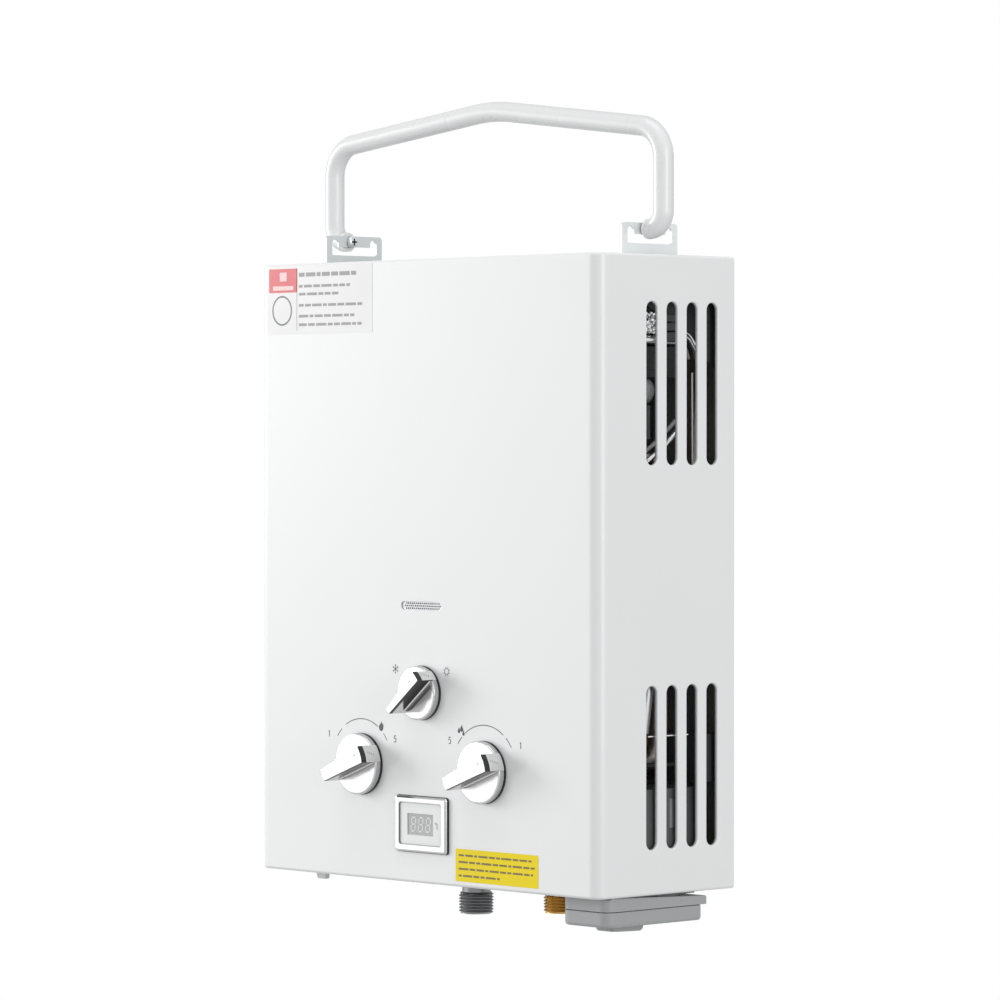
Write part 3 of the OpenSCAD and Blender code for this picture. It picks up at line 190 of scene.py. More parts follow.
def sweep(bm, path, radius, n):
    """Round bar with closed ends along a path in row metres."""
    last = len(path) - 1
    tangents = [(path[min(i + 1, last)] - path[max(i - 1, 0)]).normalized() for i in range(last + 1)]
    side = tangents[0].orthogonal().normalized()
    rings = []
    for p, t in zip(path, tangents):
        side = (side - t * side.dot(t)).normalized()
        up = t.cross(side)
        rings.append([p + side * x + up * y for x, y in circle_2d(0, 0, radius, n)])
    ring_strip(bm, rings, ends=True)


def rounded_path(points, bend, n=8):
    """Points in row metres with each corner rounded by the bend radius in mm."""
    out = [points[0]]
    for a, p, b in zip(points, points[1:], points[2:]):
        d1, d2 = (p - a).normalized(), (b - p).normalized()
        turn = math.acos(max(-1, min(1, d1.dot(d2))))
        if turn < 0.01:
            out.append(p)
            continue
        reach = min(bend * MM * math.tan(turn / 2), (p - a).length * 0.49, (b - p).length * 0.49)
        radius = reach / math.tan(turn / 2)
        start = p - d1 * reach
        normal = (d2 - d1 * d1.dot(d2)).normalized()
        centre = start + normal * radius
        for i in range(n + 1):
            t = turn * i / n
            out.append(centre - normal * radius * math.cos(t) + d1 * radius * math.sin(t))
    out.append(points[-1])
    return out


def box_mesh(bm, low, high):
    """Box from two corners in the build layout."""
    (x0, y0, z0), (x1, y1, z1) = low, high
    v = [bm.verts.new(P(x, y, z)) for z in (z0, z1) for y in (y0, y1) for x in (x0, x1)]
    for quad in ((0, 2, 3, 1), (4, 5, 7, 6), (0, 1, 5, 4), (2, 6, 7, 3), (0, 4, 6, 2), (1, 3, 7, 5)):
        bm.faces.new([v[i] for i in quad])


# ---------- materials ----------

def add_node(tree, kind, values=(), **settings):
    """New shader node with its settings and the values of its inputs."""
    node = tree.nodes.new("ShaderNode" + kind)
    for key, value in settings.items():
        setattr(node, key, value)
    for key, value in dict(values).items():
        node.inputs[key].default_value = value
    return node


def mix_to(tree, factor, base, color):
    """Socket that goes from the base socket to a plain colour as the factor socket goes from 0 to 1."""
    mix = add_node(tree, "Mix", data_type="RGBA")
    mix.inputs["B"].default_value = (*color, 1)
    tree.links.new(factor, mix.inputs["Factor"])
    tree.links.new(base, mix.inputs["A"])
    return mix.outputs["Result"]


def new_group(name, inputs, outputs):
    """Empty node group with its input sockets as (name, type) and float outputs; returns its end nodes too."""
    group = bpy.data.node_groups.new(name, "ShaderNodeTree")
    for socket, kind in inputs:
        group.interface.new_socket(socket, in_out="INPUT", socket_type=kind)
    for socket in outputs:
        group.interface.new_socket(socket, in_out="OUTPUT", socket_type="NodeSocketFloat")
    return group, group.nodes.new("NodeGroupInput"), group.nodes.new("NodeGroupOutput")


def group_wear():
    """Shared surface wear: a fine grain, a broad mottle and a sparse mask of marks."""
    group, start, end = new_group("surface_wear", (), ("Grain", "Mottle", "Marks"))
    coord = add_node(group, "TexCoord")
    grain = add_node(group, "TexNoise", {"Scale": 900, "Detail": 3})
    mottle = add_node(group, "TexNoise", {"Scale": 22, "Detail": 5})
    speck = add_node(group, "TexVoronoi", {"Scale": 130})
    step = add_node(group, "MapRange", {"From Min": 0.10, "From Max": 0.04})
    for texture in (grain, mottle, speck):
        group.links.new(coord.outputs["Object"], texture.inputs["Vector"])
    group.links.new(speck.outputs["Distance"], step.inputs["Value"])
    group.links.new(grain.outputs["Fac"], end.inputs["Grain"])
    group.links.new(mottle.outputs["Fac"], end.inputs["Mottle"])
    group.links.new(step.outputs["Result"], end.inputs["Marks"])
    return group


def group_inside():
    """Shared mask of what lies below a level (m) along an axis of the object's own frame, used for painted
    shade inside the casing.
    """
    inputs = (("Axis", "NodeSocketVector"), ("Level", "NodeSocketFloat"))
    group, start, end = new_group("inside_shade_mask", inputs, ("Mask",))
    coord = add_node(group, "TexCoord")
    along = add_node(group, "VectorMath", operation="DOT_PRODUCT")
    group.links.new(coord.outputs["Object"], along.inputs[0])
    group.links.new(start.outputs["Axis"], along.inputs[1])
    lower = add_node(group, "Math", {1: 0.2 * MM}, operation="SUBTRACT")
    group.links.new(start.outputs["Level"], lower.inputs[0])
    step = add_node(group, "MapRange")
    group.links.new(along.outputs["Value"], step.inputs["Value"])
    group.links.new(start.outputs["Level"], step.inputs["From Min"])
    group.links.new(lower.outputs[0], step.inputs["From Max"])
    group.links.new(step.outputs["Result"], end.inputs["Mask"])
    return group


WEAR = group_wear()
INSIDE_SHADE = group_inside()


def shade_inside(name, axis, level, color):
    """Painted shade: darkens a finish below a level (m) along an axis, where the piece is inside the casing.
    """
    tree = bpy.data.materials[name].node_tree
    base = tree.nodes["Principled BSDF"].inputs["Base Color"]
    mask = add_node(tree, "Group", node_tree=INSIDE_SHADE)
    mask.inputs["Axis"].default_value = axis
    mask.inputs["Level"].default_value = level
    tree.links.new(mix_to(tree, mask.outputs["Mask"], base.links[0].from_socket, color), base)


def material(name, color, roughness, metallic, coat, grain, mottle, rough_var,
             marks=0.0, mark_color=None, rim=0.0, ior=None):
    """Procedural surface: a colour with mottle, marks and painted shade at the rim seen edge-on, varied
    roughness and a fine bump.
    """
    if not isinstance(color, tuple):
        color = (color, color, color)
    mat = bpy.data.materials.new(name)
    mat.use_nodes = True
    tree = mat.node_tree
    shader = tree.nodes["Principled BSDF"]
    wear = add_node(tree, "Group", node_tree=WEAR)

    def by_mottle(low, high):
        spread = add_node(tree, "MapRange", {"From Min": 0.3, "From Max": 0.7, "To Min": low, "To Max": high})
        tree.links.new(wear.outputs["Mottle"], spread.inputs["Value"])
        return spread.outputs["Result"]

    shade = add_node(tree, "VectorMath", {0: color}, operation="SCALE")
    tree.links.new(by_mottle(1 - mottle, 1 + mottle), shade.inputs["Scale"])
    top = shade.outputs[0]
    if marks:
        amount = add_node(tree, "Math", {1: marks}, operation="MULTIPLY")
        tree.links.new(wear.outputs["Marks"], amount.inputs[0])
        top = mix_to(tree, amount.outputs[0], top, mark_color or [c * 0.5 for c in color])
    # painted shade: darker where the surface turns away from the view
    if rim:
        facing = add_node(tree, "LayerWeight", {"Blend": 0.22})
        top = mix_to(tree, facing.outputs["Facing"], top, [c * (1 - rim) for c in color])
    tree.links.new(top, shader.inputs["Base Color"])
    rough = by_mottle(max(roughness - rough_var, 0.02), min(roughness + rough_var, 1))
    tree.links.new(rough, shader.inputs["Roughness"])
    shader.inputs["Metallic"].default_value = metallic
    shader.inputs["Coat Weight"].default_value = coat
    shader.inputs["Coat Roughness"].default_value = 0.08
    if ior:
        shader.inputs["IOR"].default_value = ior
    if grain:
        bump = add_node(tree, "Bump", {"Strength": grain, "Distance": 0.0001})
        tree.links.new(wear.outputs["Grain"], bump.inputs["Height"])
        tree.links.new(bump.outputs["Normal"], shader.inputs["Normal"])


# name, colour or grey level, roughness, metal, clear coat, grain, mottle, spread of the roughness
FINISHES = (
    ("casing_paint", (0.8, 0.805, 0.81), 0.36, 0, 0.25, 0.05, 0.004, 0.03),
    ("handle_paint", (0.82, 0.825, 0.83), 0.28, 0, 0.15, 0.04, 0.004, 0.03),
    ("plug_plastic", 0.84, 0.35, 0, 0, 0.05, 0.006, 0.08),
    ("bracket_left_zinc", (0.6, 0.63, 0.64), 0.36, 0.55, 0, 0.12, 0.03, 0.06),
    ("bracket_right_zinc", (0.76, 0.785, 0.79), 0.38, 0.4, 0, 0.12, 0.03, 0.06),
    ("plate_zinc", (0.4, 0.41, 0.415), 0.42, 0.7, 0, 0.15, 0.12, 0.08),
    ("back_zinc", (0.64, 0.655, 0.66), 0.42, 0.6, 0, 0.15, 0.08, 0.08),
    ("screw_zinc", (0.62, 0.63, 0.64), 0.25, 1, 0, 0.1, 0.04, 0.08),
    ("washer_black", 0.03, 0.55, 0, 0, 0.3, 0.03, 0.08),
    # knob finishes from the face to the black one: one chrome in lit and shaded copies, each grey the painted
    # reflection and shade of its faces
    ("knob_face", 0.79, 0.2, 0.45, 0, 0.01, 0.006, 0.03),
    ("knob_rim", (0.56, 0.56, 0.565), 0.26, 0.8, 0, 0, 0.02, 0.04),
    ("knob_nose", 0.72, 0.26, 0.55, 0, 0, 0.02, 0.04),
    ("knob_side", (0.24, 0.24, 0.245), 0.28, 0.6, 0, 0, 0.03, 0.04),
    ("knob_side_low", (0.24, 0.24, 0.245), 0.26, 0.5, 0, 0, 0.03, 0.04),
    ("knob_scoop", (0.74, 0.74, 0.745), 0.24, 0.5, 0, 0, 0.02, 0.04),
    ("knob_pocket", (0.035, 0.035, 0.037), 0.34, 0.3, 0, 0, 0.08, 0.08),
    ("knob_line", (0.012, 0.012, 0.013), 0.32, 0, 0, 0, 0.05, 0.08),
    ("knob_mark", (0.16, 0.16, 0.165), 0.5, 0, 0, 0, 0.05, 0.08),
    ("bezel_chrome", (0.48, 0.48, 0.485), 0.12, 1, 0, 0, 0.02, 0.03),
    ("display_plastic", (0.8, 0.81, 0.81), 0.3, 0, 0, 0.05, 0.005, 0.08),
    ("display_glass", (0.375, 0.38, 0.38), 0.16, 0, 0.3, 0, 0.02, 0.08),
    ("digit_unlit", (0.68, 0.69, 0.68), 0.4, 0, 0, 0, 0.02, 0.08),
    ("print_grey", (0.16, 0.16, 0.165), 0.5, 0, 0, 0, 0.08, 0.08),
    ("print_soft", (0.05, 0.05, 0.053), 0.5, 0, 0, 0, 0.08, 0.08),
    ("film_clear", 0.785, 0.42, 0, 0, 0.03, 0.005, 0.08),
    ("film_red", (0.72, 0.135, 0.15), 0.5, 0, 0, 0.03, 0.02, 0.08),
    ("film_yellow", (0.88, 0.7, 0.008), 0.55, 0, 0, 0.03, 0.02, 0.08),
    ("film_bar", (0.3, 0.3, 0.31), 0.5, 0, 0, 0, 0.1, 0.08),
    ("yellow_bar", (0.16, 0.12, 0.03), 0.5, 0, 0, 0, 0.1, 0.08),
    ("inlet_steel", (0.24, 0.243, 0.248), 0.34, 0.9, 0, 0.3, 0.12, 0.08),
    ("brass_turned", (0.48, 0.295, 0.085), 0.24, 1, 0, 0.12, 0.08, 0.08),
    ("brass_cast", (0.46, 0.31, 0.12), 0.42, 1, 0, 0.4, 0.12, 0.08),
    ("valve_alloy", (0.42, 0.43, 0.44), 0.48, 0.9, 0, 0.5, 0.08, 0.08),
    ("solenoid_paint", (0.08, 0.1, 0.13), 0.4, 0, 0, 0.2, 0.03, 0.08),
    ("burner_steel", (0.33, 0.33, 0.34), 0.4, 1, 0, 0.25, 0.15, 0.08),
    ("hood_steel", (0.3, 0.31, 0.32), 0.38, 1, 0, 0.2, 0.15, 0.08),
    ("copper_tinned", (0.45, 0.4, 0.36), 0.28, 1, 0, 0.2, 0.18, 0.08),
    ("copper_dull", (0.085, 0.066, 0.056), 0.42, 1, 0, 0.25, 0.22, 0.08),
    ("foil_bright", (0.8, 0.81, 0.82), 0.2, 1, 0, 0.2, 0.06, 0.08),
    ("ceramic_white", (0.72, 0.7, 0.64), 0.25, 0, 0, 0, 0.03, 0.08),
    ("igniter_plastic", (0.035, 0.037, 0.04), 0.42, 0, 0, 0.3, 0.03, 0.08),
    ("switch_plastic", (0.03, 0.03, 0.032), 0.4, 0, 0, 0.3, 0.03, 0.08),
    ("box_inside", (0.075, 0.076, 0.077), 0.5, 0, 0, 0.22, 0.05, 0.05),
    ("block_black", (0.022, 0.022, 0.023), 0.4, 0, 0, 0.3, 0.3, 0.08),
    ("tube_bright", (0.72, 0.72, 0.725), 0.2, 1, 0, 0, 0.12, 0.08),
    ("cap_satin", (0.36, 0.36, 0.365), 0.42, 0.6, 0, 0, 0.2, 0.08),
    ("pipe_wrap", (0.11, 0.11, 0.112), 0.38, 0.5, 0, 0.3, 0.25, 0.08),
    ("bezel_groove", (0.05, 0.05, 0.052), 0.35, 0.3, 0, 0, 0.05, 0.08),
    ("film_pale_red", (0.84, 0.58, 0.57), 0.42, 0, 0, 0, 0.02, 0.08),
    ("board_green", (0.03, 0.11, 0.05), 0.35, 0, 0, 0, 0.1, 0.08),
    ("box_plastic", (0.36, 0.365, 0.37), 0.46, 0, 0, 0.22, 0.012, 0.04),
    ("contact_spring", (0.62, 0.6, 0.52), 0.3, 1, 0, 0, 0.05, 0.08),
    ("cell_paint", (0.1, 0.13, 0.17), 0.3, 0.4, 0.3, 0, 0.04, 0.08),
    ("lead_black", 0.02, 0.42, 0, 0, 0, 0.1, 0.08),
    ("lead_red", (0.045, 0.012, 0.01), 0.42, 0, 0, 0, 0.1, 0.08),
    ("drain_plastic", (0.66, 0.67, 0.675), 0.4, 0, 0, 0.1, 0.02, 0.08),
    ("mesh_steel", (0.36, 0.37, 0.38), 0.35, 0.9, 0, 0.2, 0.1, 0.08))

EXTRAS = {
    "handle_paint": {"rim": 0.5},
    "plate_zinc": {"marks": 0.2},
    "back_zinc": {"marks": 0.2},
    "film_yellow": {"ior": 1.3},
    "inlet_steel": {"marks": 0.4},
    "block_black": {"marks": 0.6, "mark_color": (0.2, 0.2, 0.2)}}

for row in FINISHES:
    material(*row, **EXTRAS.get(row[0], {}))

# painted shade on the parts of the brackets and the back plate that lie inside the casing
for bracket_zinc in ("bracket_left_zinc", "bracket_right_zinc"):
    shade_inside(bracket_zinc, (0, 0, 1), (CASING_H / 2 - 0.4) * MM, (0.07, 0.07, 0.072))
shade_inside("back_zinc", (0, 1, 0), -0.2 * MM, (0.36, 0.37, 0.375))


# ---------- casing ----------

CORNER_R, EDGE_R, SHEET = 8.0, 1.8, 0.7
VENT_W, VENT_LEN, VENT_PITCH, VENT_Y = 8.8, 94.4, 16.6, 68.8
VENT_ZS = (73.5, 295.4)


def cover_outline(inset):
    """Points (x, y) from the rear left, round the front, to the rear right."""
    left = [(inset - HALF_W, CASING_D)] + arc_2d(CORNER_R - HALF_W, CORNER_R, inset - CORNER_R, 0, 90, 10)
    return left + [(-x, y) for x, y in reversed(left)]


def lip(bm, to_point, shape, wall=1.1, depth=2.3, steps=5):
    """Rolled edge of an opening: from the face, round the edge and inward. Returns the ring on the face."""
    rings = []
    for i in range(steps + 1):
        a = math.radians(90 * i / steps)
        rings.append([to_point(*q, -wall * (1 - math.cos(a))) for q in shape(wall * (1 - math.sin(a)))])
    rings.append([to_point(*q, -depth) for q in shape(0)])
    return ring_strip(bm, rings)[0]


def side_vents(bm, side):
    """Rolled slots of a side wall."""
    def vent(y, z):
        return lip(bm, lambda u, v, d: P(side * (HALF_W + d), u, v),
                   lambda off: stadium_2d(y, z, VENT_W + 2 * off, VENT_LEN + 2 * off, 14))
    return [vent(VENT_Y + (i - 1.5) * VENT_PITCH, z) for z in VENT_ZS for i in range(4)]


def front_holes(bm):
    """Openings of the front wall: sight slot, three knob spindles and display."""
    def hole(shape, wall=0.2, depth=0.8):
        return lip(bm, lambda u, v, d: P(u, -d, v), shape, wall, depth, 3)

    def slot(off):
        return [(v - 1.5, u + 164.4) for u, v in reversed(stadium_2d(0, 0, 4.9 + 2 * off, 34.4 + 2 * off, 8))]

    return [hole(slot, 0.35, 1.0),
            hole(lambda off: circle_2d(-DIAL_X, DIAL_Z, 7 + off, 24)),
            hole(lambda off: circle_2d(DIAL_X, DIAL_Z, 7 + off, 24)),
            hole(lambda off: circle_2d(0, SEASON_Z, 7 + off, 24)),
            hole(lambda off: rect_2d(0, 35, 41.6 + 2 * off, 29.6 + 2 * off))]


def level_wall(bm, ring, z, depth, shapes):
    """Top or bottom wall with openings whose edges go in by depth."""
    fill(bm, ring, [ring_strip(bm, [[P(x, y, level) for x, y in shape] for level in (z, z + depth)])[0]
                    for shape in shapes])


def make_cover():
    bm = bmesh.new()
    turns = [math.radians(90 * i / 4) for i in range(5)]
    levels = [(EDGE_R * (1 - math.sin(a)), EDGE_R * (1 - math.cos(a))) for a in turns]
    rings = [[P(x, y, z) for x, y in cover_outline(inset)] for inset, z in levels]
    rings += [[P(x, y, CASING_H - z) for x, y in cover_outline(inset)] for inset, z in reversed(levels)]
    verts = [verts_at(bm, ring) for ring in rings]
    n = len(verts[0])
    wide = len(levels) - 1
    left, front, right = 0, n // 2 - 1, n - 2
    for row, (a, b) in enumerate(zip(verts, verts[1:])):
        for i in range(n - 1):
            if row != wide or i not in (left, front, right):
                bm.faces.new((a[i], a[i + 1], b[i + 1], b[i]))
    low, high = verts[wide], verts[wide + 1]
    for i, holes in ((left, side_vents(bm, -1)), (right, side_vents(bm, 1)), (front, front_holes(bm))):
        fill(bm, [low[i], low[i + 1], high[i + 1], high[i]], holes)
    flue = [stadium_2d((i - 4) * 13, 61 + row * 11, 5, 16, 6) for row in (-1, 1) for i in range(9)]
    level_wall(bm, verts[-1], CASING_H, -0.8, flue + [rect_2d(s * 128.5, 60.6, 2.1, 46.4) for s in (-1, 1)])
    below = [circle_2d(0, FITTING_Y, 11.98), circle_2d(WATER_X, FITTING_Y, 11.98), circle_2d(-110, 85, 11.98),
             circle_2d(DRAIN_X, DRAIN_Y, 6.5, 24), rect_2d(DOOR_X, 47.6, 37.6, 71.8)]
    level_wall(bm, verts[0], 0, 0.8, below)
    cover = new_object("casing_cover", bm, "casing_paint", smooth=40)
    thick = cover.modifiers.new("sheet", "SOLIDIFY")
    thick.thickness = SHEET * MM
    thick.offset = -1
    cover.modifiers.move(1, 0)
    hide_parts("front_cover")
    place(cover, "casing")


# ---------- handle ----------

def handle_path():
    """Middle line of the handle tube in row metres, from the right foot to the left."""
    leg_x, end_x, side_rise, middle_rise = 143.0, 132.3, 58.1, 75.1
    foot, shoulder, apex = leg_x - end_x, 20.0, 130.0
    slope = math.atan((middle_rise - side_rise) / leg_x)
    tilt = 90 - math.degrees(slope)
    shoulder_z = PIVOT_Z + side_rise - shoulder * math.tan((math.pi / 2 - slope) / 2)
    centre_z = PIVOT_Z + middle_rise - apex / math.cos(slope)
    half = [(end_x + 0.01, PIVOT_Z)] + arc_2d(end_x, PIVOT_Z + foot, foot, -90, 0, 14)[1:]
    half.append((leg_x, shoulder_z - 2))
    half += arc_2d(leg_x - shoulder, shoulder_z, shoulder, 0, tilt, 18)
    half += arc_2d(0, centre_z, apex, tilt, 90, 6)[:-1]
    full = half + [(0, centre_z + apex)] + [(-x, z) for x, z in reversed(half)]
    return [P(x, PIVOT_Y, z) for x, z in full]


def make_handle():
    bm = bmesh.new()
    sweep(bm, handle_path(), 6 * MM, 40)
    tube = new_object("handle_bar", bm, "handle_paint", smooth=50)
    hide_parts("handle_tube")
    place(tube, "handle")
    profile = [(0.01, 0.0), (1.8, 0.05), (2.8, 0.35), (3.35, 0.95), (3.58, 1.7), (3.6, 2.6), (1.95, 2.6),
               (1.95, 9.4), (0.01, 9.4)]
    heads, recesses = bmesh.new(), bmesh.new()
    for side in (-1, 1):
        lathe(heads, profile, lambda u, v, h: P(side * (PIVOT_X + h), PIVOT_Y + u, PIVOT_Z + v), 40)
        # flat black cross on each head: painted shade of the cross recess
        x0, x1 = sorted((side * (PIVOT_X - 0.13), side * (PIVOT_X + 0.25)))
        for du, dv in ((2.1, 0.55), (0.55, 2.1)):
            box_mesh(recesses, (x0, PIVOT_Y - du, PIVOT_Z - dv), (x1, PIVOT_Y + du, PIVOT_Z + dv))
    pan = new_object("pivot_screw", heads, "screw_zinc", smooth=40)
    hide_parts("handle_screws")
    place(pan, "handle")
    place(new_object("pivot_screw_recess_shade", recesses, "washer_black", smooth=None), "handle")


# ---------- knobs ----------

KNOB_BACK, KNOB_FACE, GRIP_TOP = 1.4, 5.5, 17.0
GRIP_TAPER, GRIP_INSET, SCOOP_DEPTH = 3.2, 0.4, 1.1
BAND_FOOT, STRIP_FOOT, GRIP_FOOT = 13.2, 14.5, 4.2
POCKET_DEPTH = 0.5


def make_knob(name, node, body, cx, cz, diameter, turn, grip_w, scoop_finish, scoop_curve, rim_w, mark_at):
    """Round knob: a disc with a tapered grip across it and a finger scoop along each side of the grip."""
    r = diameter / 2
    ca, sa = math.cos(math.radians(turn)), math.sin(math.radians(turn))

    def point(u, v, h):
        """Point u along the grip and v across it from the knob's axis, h in front of the casing."""
        return P(cx + u * ca - v * sa, -h, cz + u * sa + v * ca)

    def along(c):
        """(u, v) in mm of a point in row metres."""
        dx, dz = c.x / MM - cx, c.z / MM + CASING_H / 2 - cz
        return dx * ca + dz * sa, -dx * sa + dz * ca

    def level(h):
        return P(0, -h, 0).y

    def half(u):
        return grip_w / 2 - GRIP_TAPER / 2 * (r + 0.6 - u) / (2 * r + 1.2)

    # disc
    bm = bmesh.new()
    profile = [(r - 3.0, KNOB_BACK), (r - 0.5, KNOB_BACK), (r - 0.12, 1.55), (r, 1.95),
               (r, 4.6), (r - 0.16, 5.0), (r - 0.5, 5.32), (r - 1.0, KNOB_FACE)]
    verts = ring_strip(bm, [[point(u, v, h) for u, v in circle_2d(0, 0, rr, 96)] for rr, h in profile])
    cap(bm, verts[0])
    holes = []
    for side in (-1, 1):
        outer = verts_at(bm, [point(u, side * (half(u) + wide), KNOB_FACE) for u, wide in scoop_curve])
        inner, deep = [verts_at(bm, [point(u, side * (half(u) - GRIP_INSET), h) for u, wide in scoop_curve])
                       for h in (KNOB_FACE, KNOB_FACE - SCOOP_DEPTH)]
        band(bm, outer, deep, closed=False)
        bm.faces.new((outer[0], deep[0], inner[0]))
        bm.faces.new((outer[-1], inner[-1], deep[-1]))
        holes.append(outer + inner[::-1])
    fill(bm, verts[-1], holes)
    disc = new_object(name + "_disc", bm, "knob_rim", smooth=30)
    front = level(KNOB_FACE)
    # disc face and scoops get lit and shaded greys of the chrome: painted reflection and shade
    finish_faces(disc, ("knob_face", lambda c, n: abs(c.y - front) < 0.02 * MM),
                 (scoop_finish[1], lambda c, n: front + 0.1 * MM < c.y < front + 0.8 * MM and abs(n.y) > 0.6
                  and math.hypot(*along(c)) < r - 1.1))
    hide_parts(node)
    place(disc, body)

    # grip: arcs at both ends, flat tapered sides between them
    nose_r, tail_r = r + 0.6, r + 0.25
    nose_half, tail_half = half(r), half(-r)
    a_nose, a_tail = math.degrees(math.asin(nose_half / nose_r)), math.degrees(math.asin(tail_half / tail_r))

    def outline(inset):
        nose = arc_2d(0, 0, nose_r - inset, -a_nose, a_nose, 10)
        tail = arc_2d(0, 0, tail_r - inset, 180 - a_tail, 180 + a_tail, 6)
        return ([(u, v * (1 - inset / nose_half)) for u, v in nose]
                + [(u, v * (1 - inset / tail_half)) for u, v in tail])

    bm = bmesh.new()
    levels = [(GRIP_TOP, 0.38), (GRIP_TOP - 0.12, 0.14), (GRIP_TOP - 0.4, 0.0),
              (STRIP_FOOT, 0.0), (BAND_FOOT, 0.0), (GRIP_FOOT, 0.0)]
    rings = [verts_at(bm, [point(u, v, h) for u, v in outline(inset)]) for h, inset in levels]
    n = len(rings[0])
    for row, (a, b) in enumerate(zip(rings, rings[1:])):
        for i in range(n):
            if row <= 2 or i not in (10, n - 1):
                j = (i + 1) % n
                bm.faces.new((a[i], a[j], b[j], b[i]))
    bm.faces.new(rings[0])
    bm.faces.new(rings[-1])
    (nose_u, nose_v), (tail_u, tail_v) = outline(0)[10], outline(0)[11]

    def on_side(side, u, h, deep=0.0):
        v = nose_v + (tail_v - nose_v) * (nose_u - u) / (nose_u - tail_u)
        return bm.verts.new(point(u, side * (v - deep), h))

    # sides of the grip: a pocket framed by its rim
    slant_top, pocket_foot = -r + 12.0, KNOB_FACE + 0.25 + rim_w
    pocket_nose, pocket_top = nose_u - 1.25 - rim_w * 0.4, STRIP_FOOT - rim_w
    for side, nose_i, tail_i in ((1, 10, 11), (-1, 0, n - 1)):
        t0, m0, q0 = [rings[row][tail_i] for row in (3, 4, 5)]
        t3, m3, q3 = [rings[row][nose_i] for row in (3, 4, 5)]
        t1, t2 = on_side(side, slant_top, STRIP_FOOT), on_side(side, nose_u - 1.2, STRIP_FOOT)
        q1, q2 = on_side(side, tail_u + 0.4, GRIP_FOOT), on_side(side, nose_u - 1.2, GRIP_FOOT)
        p1, p2 = on_side(side, tail_u + 0.5, KNOB_FACE + 0.1), on_side(side, nose_u - 1.2, KNOB_FACE + 0.1)
        for corners in ((t0, m0, q0, q1, p1, t1), (t2, p2, q2, q3, m3, t3),
                        (p1, q1, q2, p2), (t0, t1, t2, t3)):
            bm.faces.new(corners)
        pocket = [on_side(side, u, h, POCKET_DEPTH) for u, h in (
            (slant_top + 0.5 + rim_w, pocket_top), (tail_u + 0.9 + rim_w, pocket_foot),
            (pocket_nose, pocket_foot), (pocket_nose, pocket_top))]
        band(bm, [t1, p1, p2, t2], pocket)
        bm.faces.new(pocket)
    tongue = arc_2d(0, 0, nose_r, -a_nose, a_nose, 10)
    back = [(u - 2.4, v) for u, v in reversed(tongue)]
    ring_strip(bm, [[point(u - cut, v, h) for u, v in tongue] + [point(u, v, h) for u, v in back]
                    for h, cut in ((1.7, 0.25), (2.1, 0.0), (GRIP_FOOT, 0.0))], ends=True)
    grip = new_object(name + "_grip", bm, "knob_nose", smooth=28)
    top_y, strip_y, band_y = level(GRIP_TOP - 0.2), level(STRIP_FOOT - 0.02), level(BAND_FOOT)

    def is_side(n):
        return abs(-n.x * sa + n.z * ca) > 0.8

    def in_pocket(c):
        u, v = along(c)
        return abs(v) < half(u) - 0.42 and c.y > strip_y

    # grip top, dark band under it, nose end and side pockets get lit and shaded greys of the chrome: painted
    # reflection and shade
    finish_faces(
        grip,
        ("knob_face", lambda c, n: c.y < top_y),
        ("knob_line", lambda c, n: top_y <= c.y < strip_y),
        ("knob_line", lambda c, n: c.y < band_y and along(c)[0] > r * 0.6 and not is_side(n)),
        ("knob_line", lambda c, n: is_side(n) and along(c)[0] > nose_u - 1.1 and c.y > strip_y),
        (scoop_finish[0], lambda c, n: is_side(n) and in_pocket(c)))
    place(grip, body)

    # marks: a bar on the grip's top and four short ones on its nose
    bm = bmesh.new()
    bm.faces.new(verts_at(bm, [point(u, v, GRIP_TOP + 0.02) for u, v in rect_2d(*mark_at, 1.9, 0.56)]))
    for k in range(4):
        spots = rect_2d(0.5 * (1.5 - k), 11.2 - 1.5 * k, 1.1, 0.48)
        bm.faces.new(verts_at(bm, [point(math.sqrt(nose_r ** 2 - v ** 2) + 0.03, v, h) for v, h in spots]))
    place(new_object(name + "_marks", bm, "knob_mark", smooth=None), body)


def make_knobs():
    # greys of the pockets and scoops: painted shade, lighter on the gas and water knobs and dark on the season
    # knob
    light, dark = ("knob_side", "knob_scoop"), ("knob_pocket", "knob_side_low")
    wedge = ((-14.8, 0.0), (-12.6, 0.8), (-10.0, 1.3), (-7.7, 1.45), (0.0, 1.2), (9.0, 0.8), (15.6, 0.35),
             (16.0, 0.0))
    bowl = ((-13.8, 0.0), (-12.4, 1.6), (-9.2, 2.9), (0.0, 3.0), (9.0, 3.05), (11.9, 3.0), (12.6, 2.2),
            (12.8, 0.0))
    for name, x, z, d, turn, grip_w, finish, curve, rim_w, mark in (
            ("gas", -DIAL_X, DIAL_Z, 36.6, 23, 10.6, light, wedge, 0.12, (13.6, 1.2)),
            ("water", DIAL_X, DIAL_Z, 36.6, 23, 10.6, light, wedge, 0.12, (13.6, 1.2)),
            ("season", 0, SEASON_Z, 32, 42, 6.8, dark, bowl, 0.42, (10.2, 0.9))):
        make_knob(name + "_dial", name + "_knob", name + "_control", x, z, d, turn, grip_w, finish, curve,
                  rim_w, mark)
        paint(name + "_spindle", "brass_turned")
        # black ring under each knob: painted contact shadow of the knob on the panel
        bm = bmesh.new()
        lathe(bm, [(7.4, 0.03), (d / 2 + 0.2, 0.03), (d / 2 + 0.2, 0.7), (d / 2 - 0.4, 1.1), (7.4, 1.1)],
              lambda u, v, h: P(x + u, -h, z + v), 72)
        place(new_object(name + "_shadow_ring", bm, "knob_line", smooth=40), "casing")


# ---------- print on the front ----------

PRINT_H = 0.06
LABEL_H, LABEL_PRINT_H, LABEL_TOP_H = 0.10, 0.16, 0.21


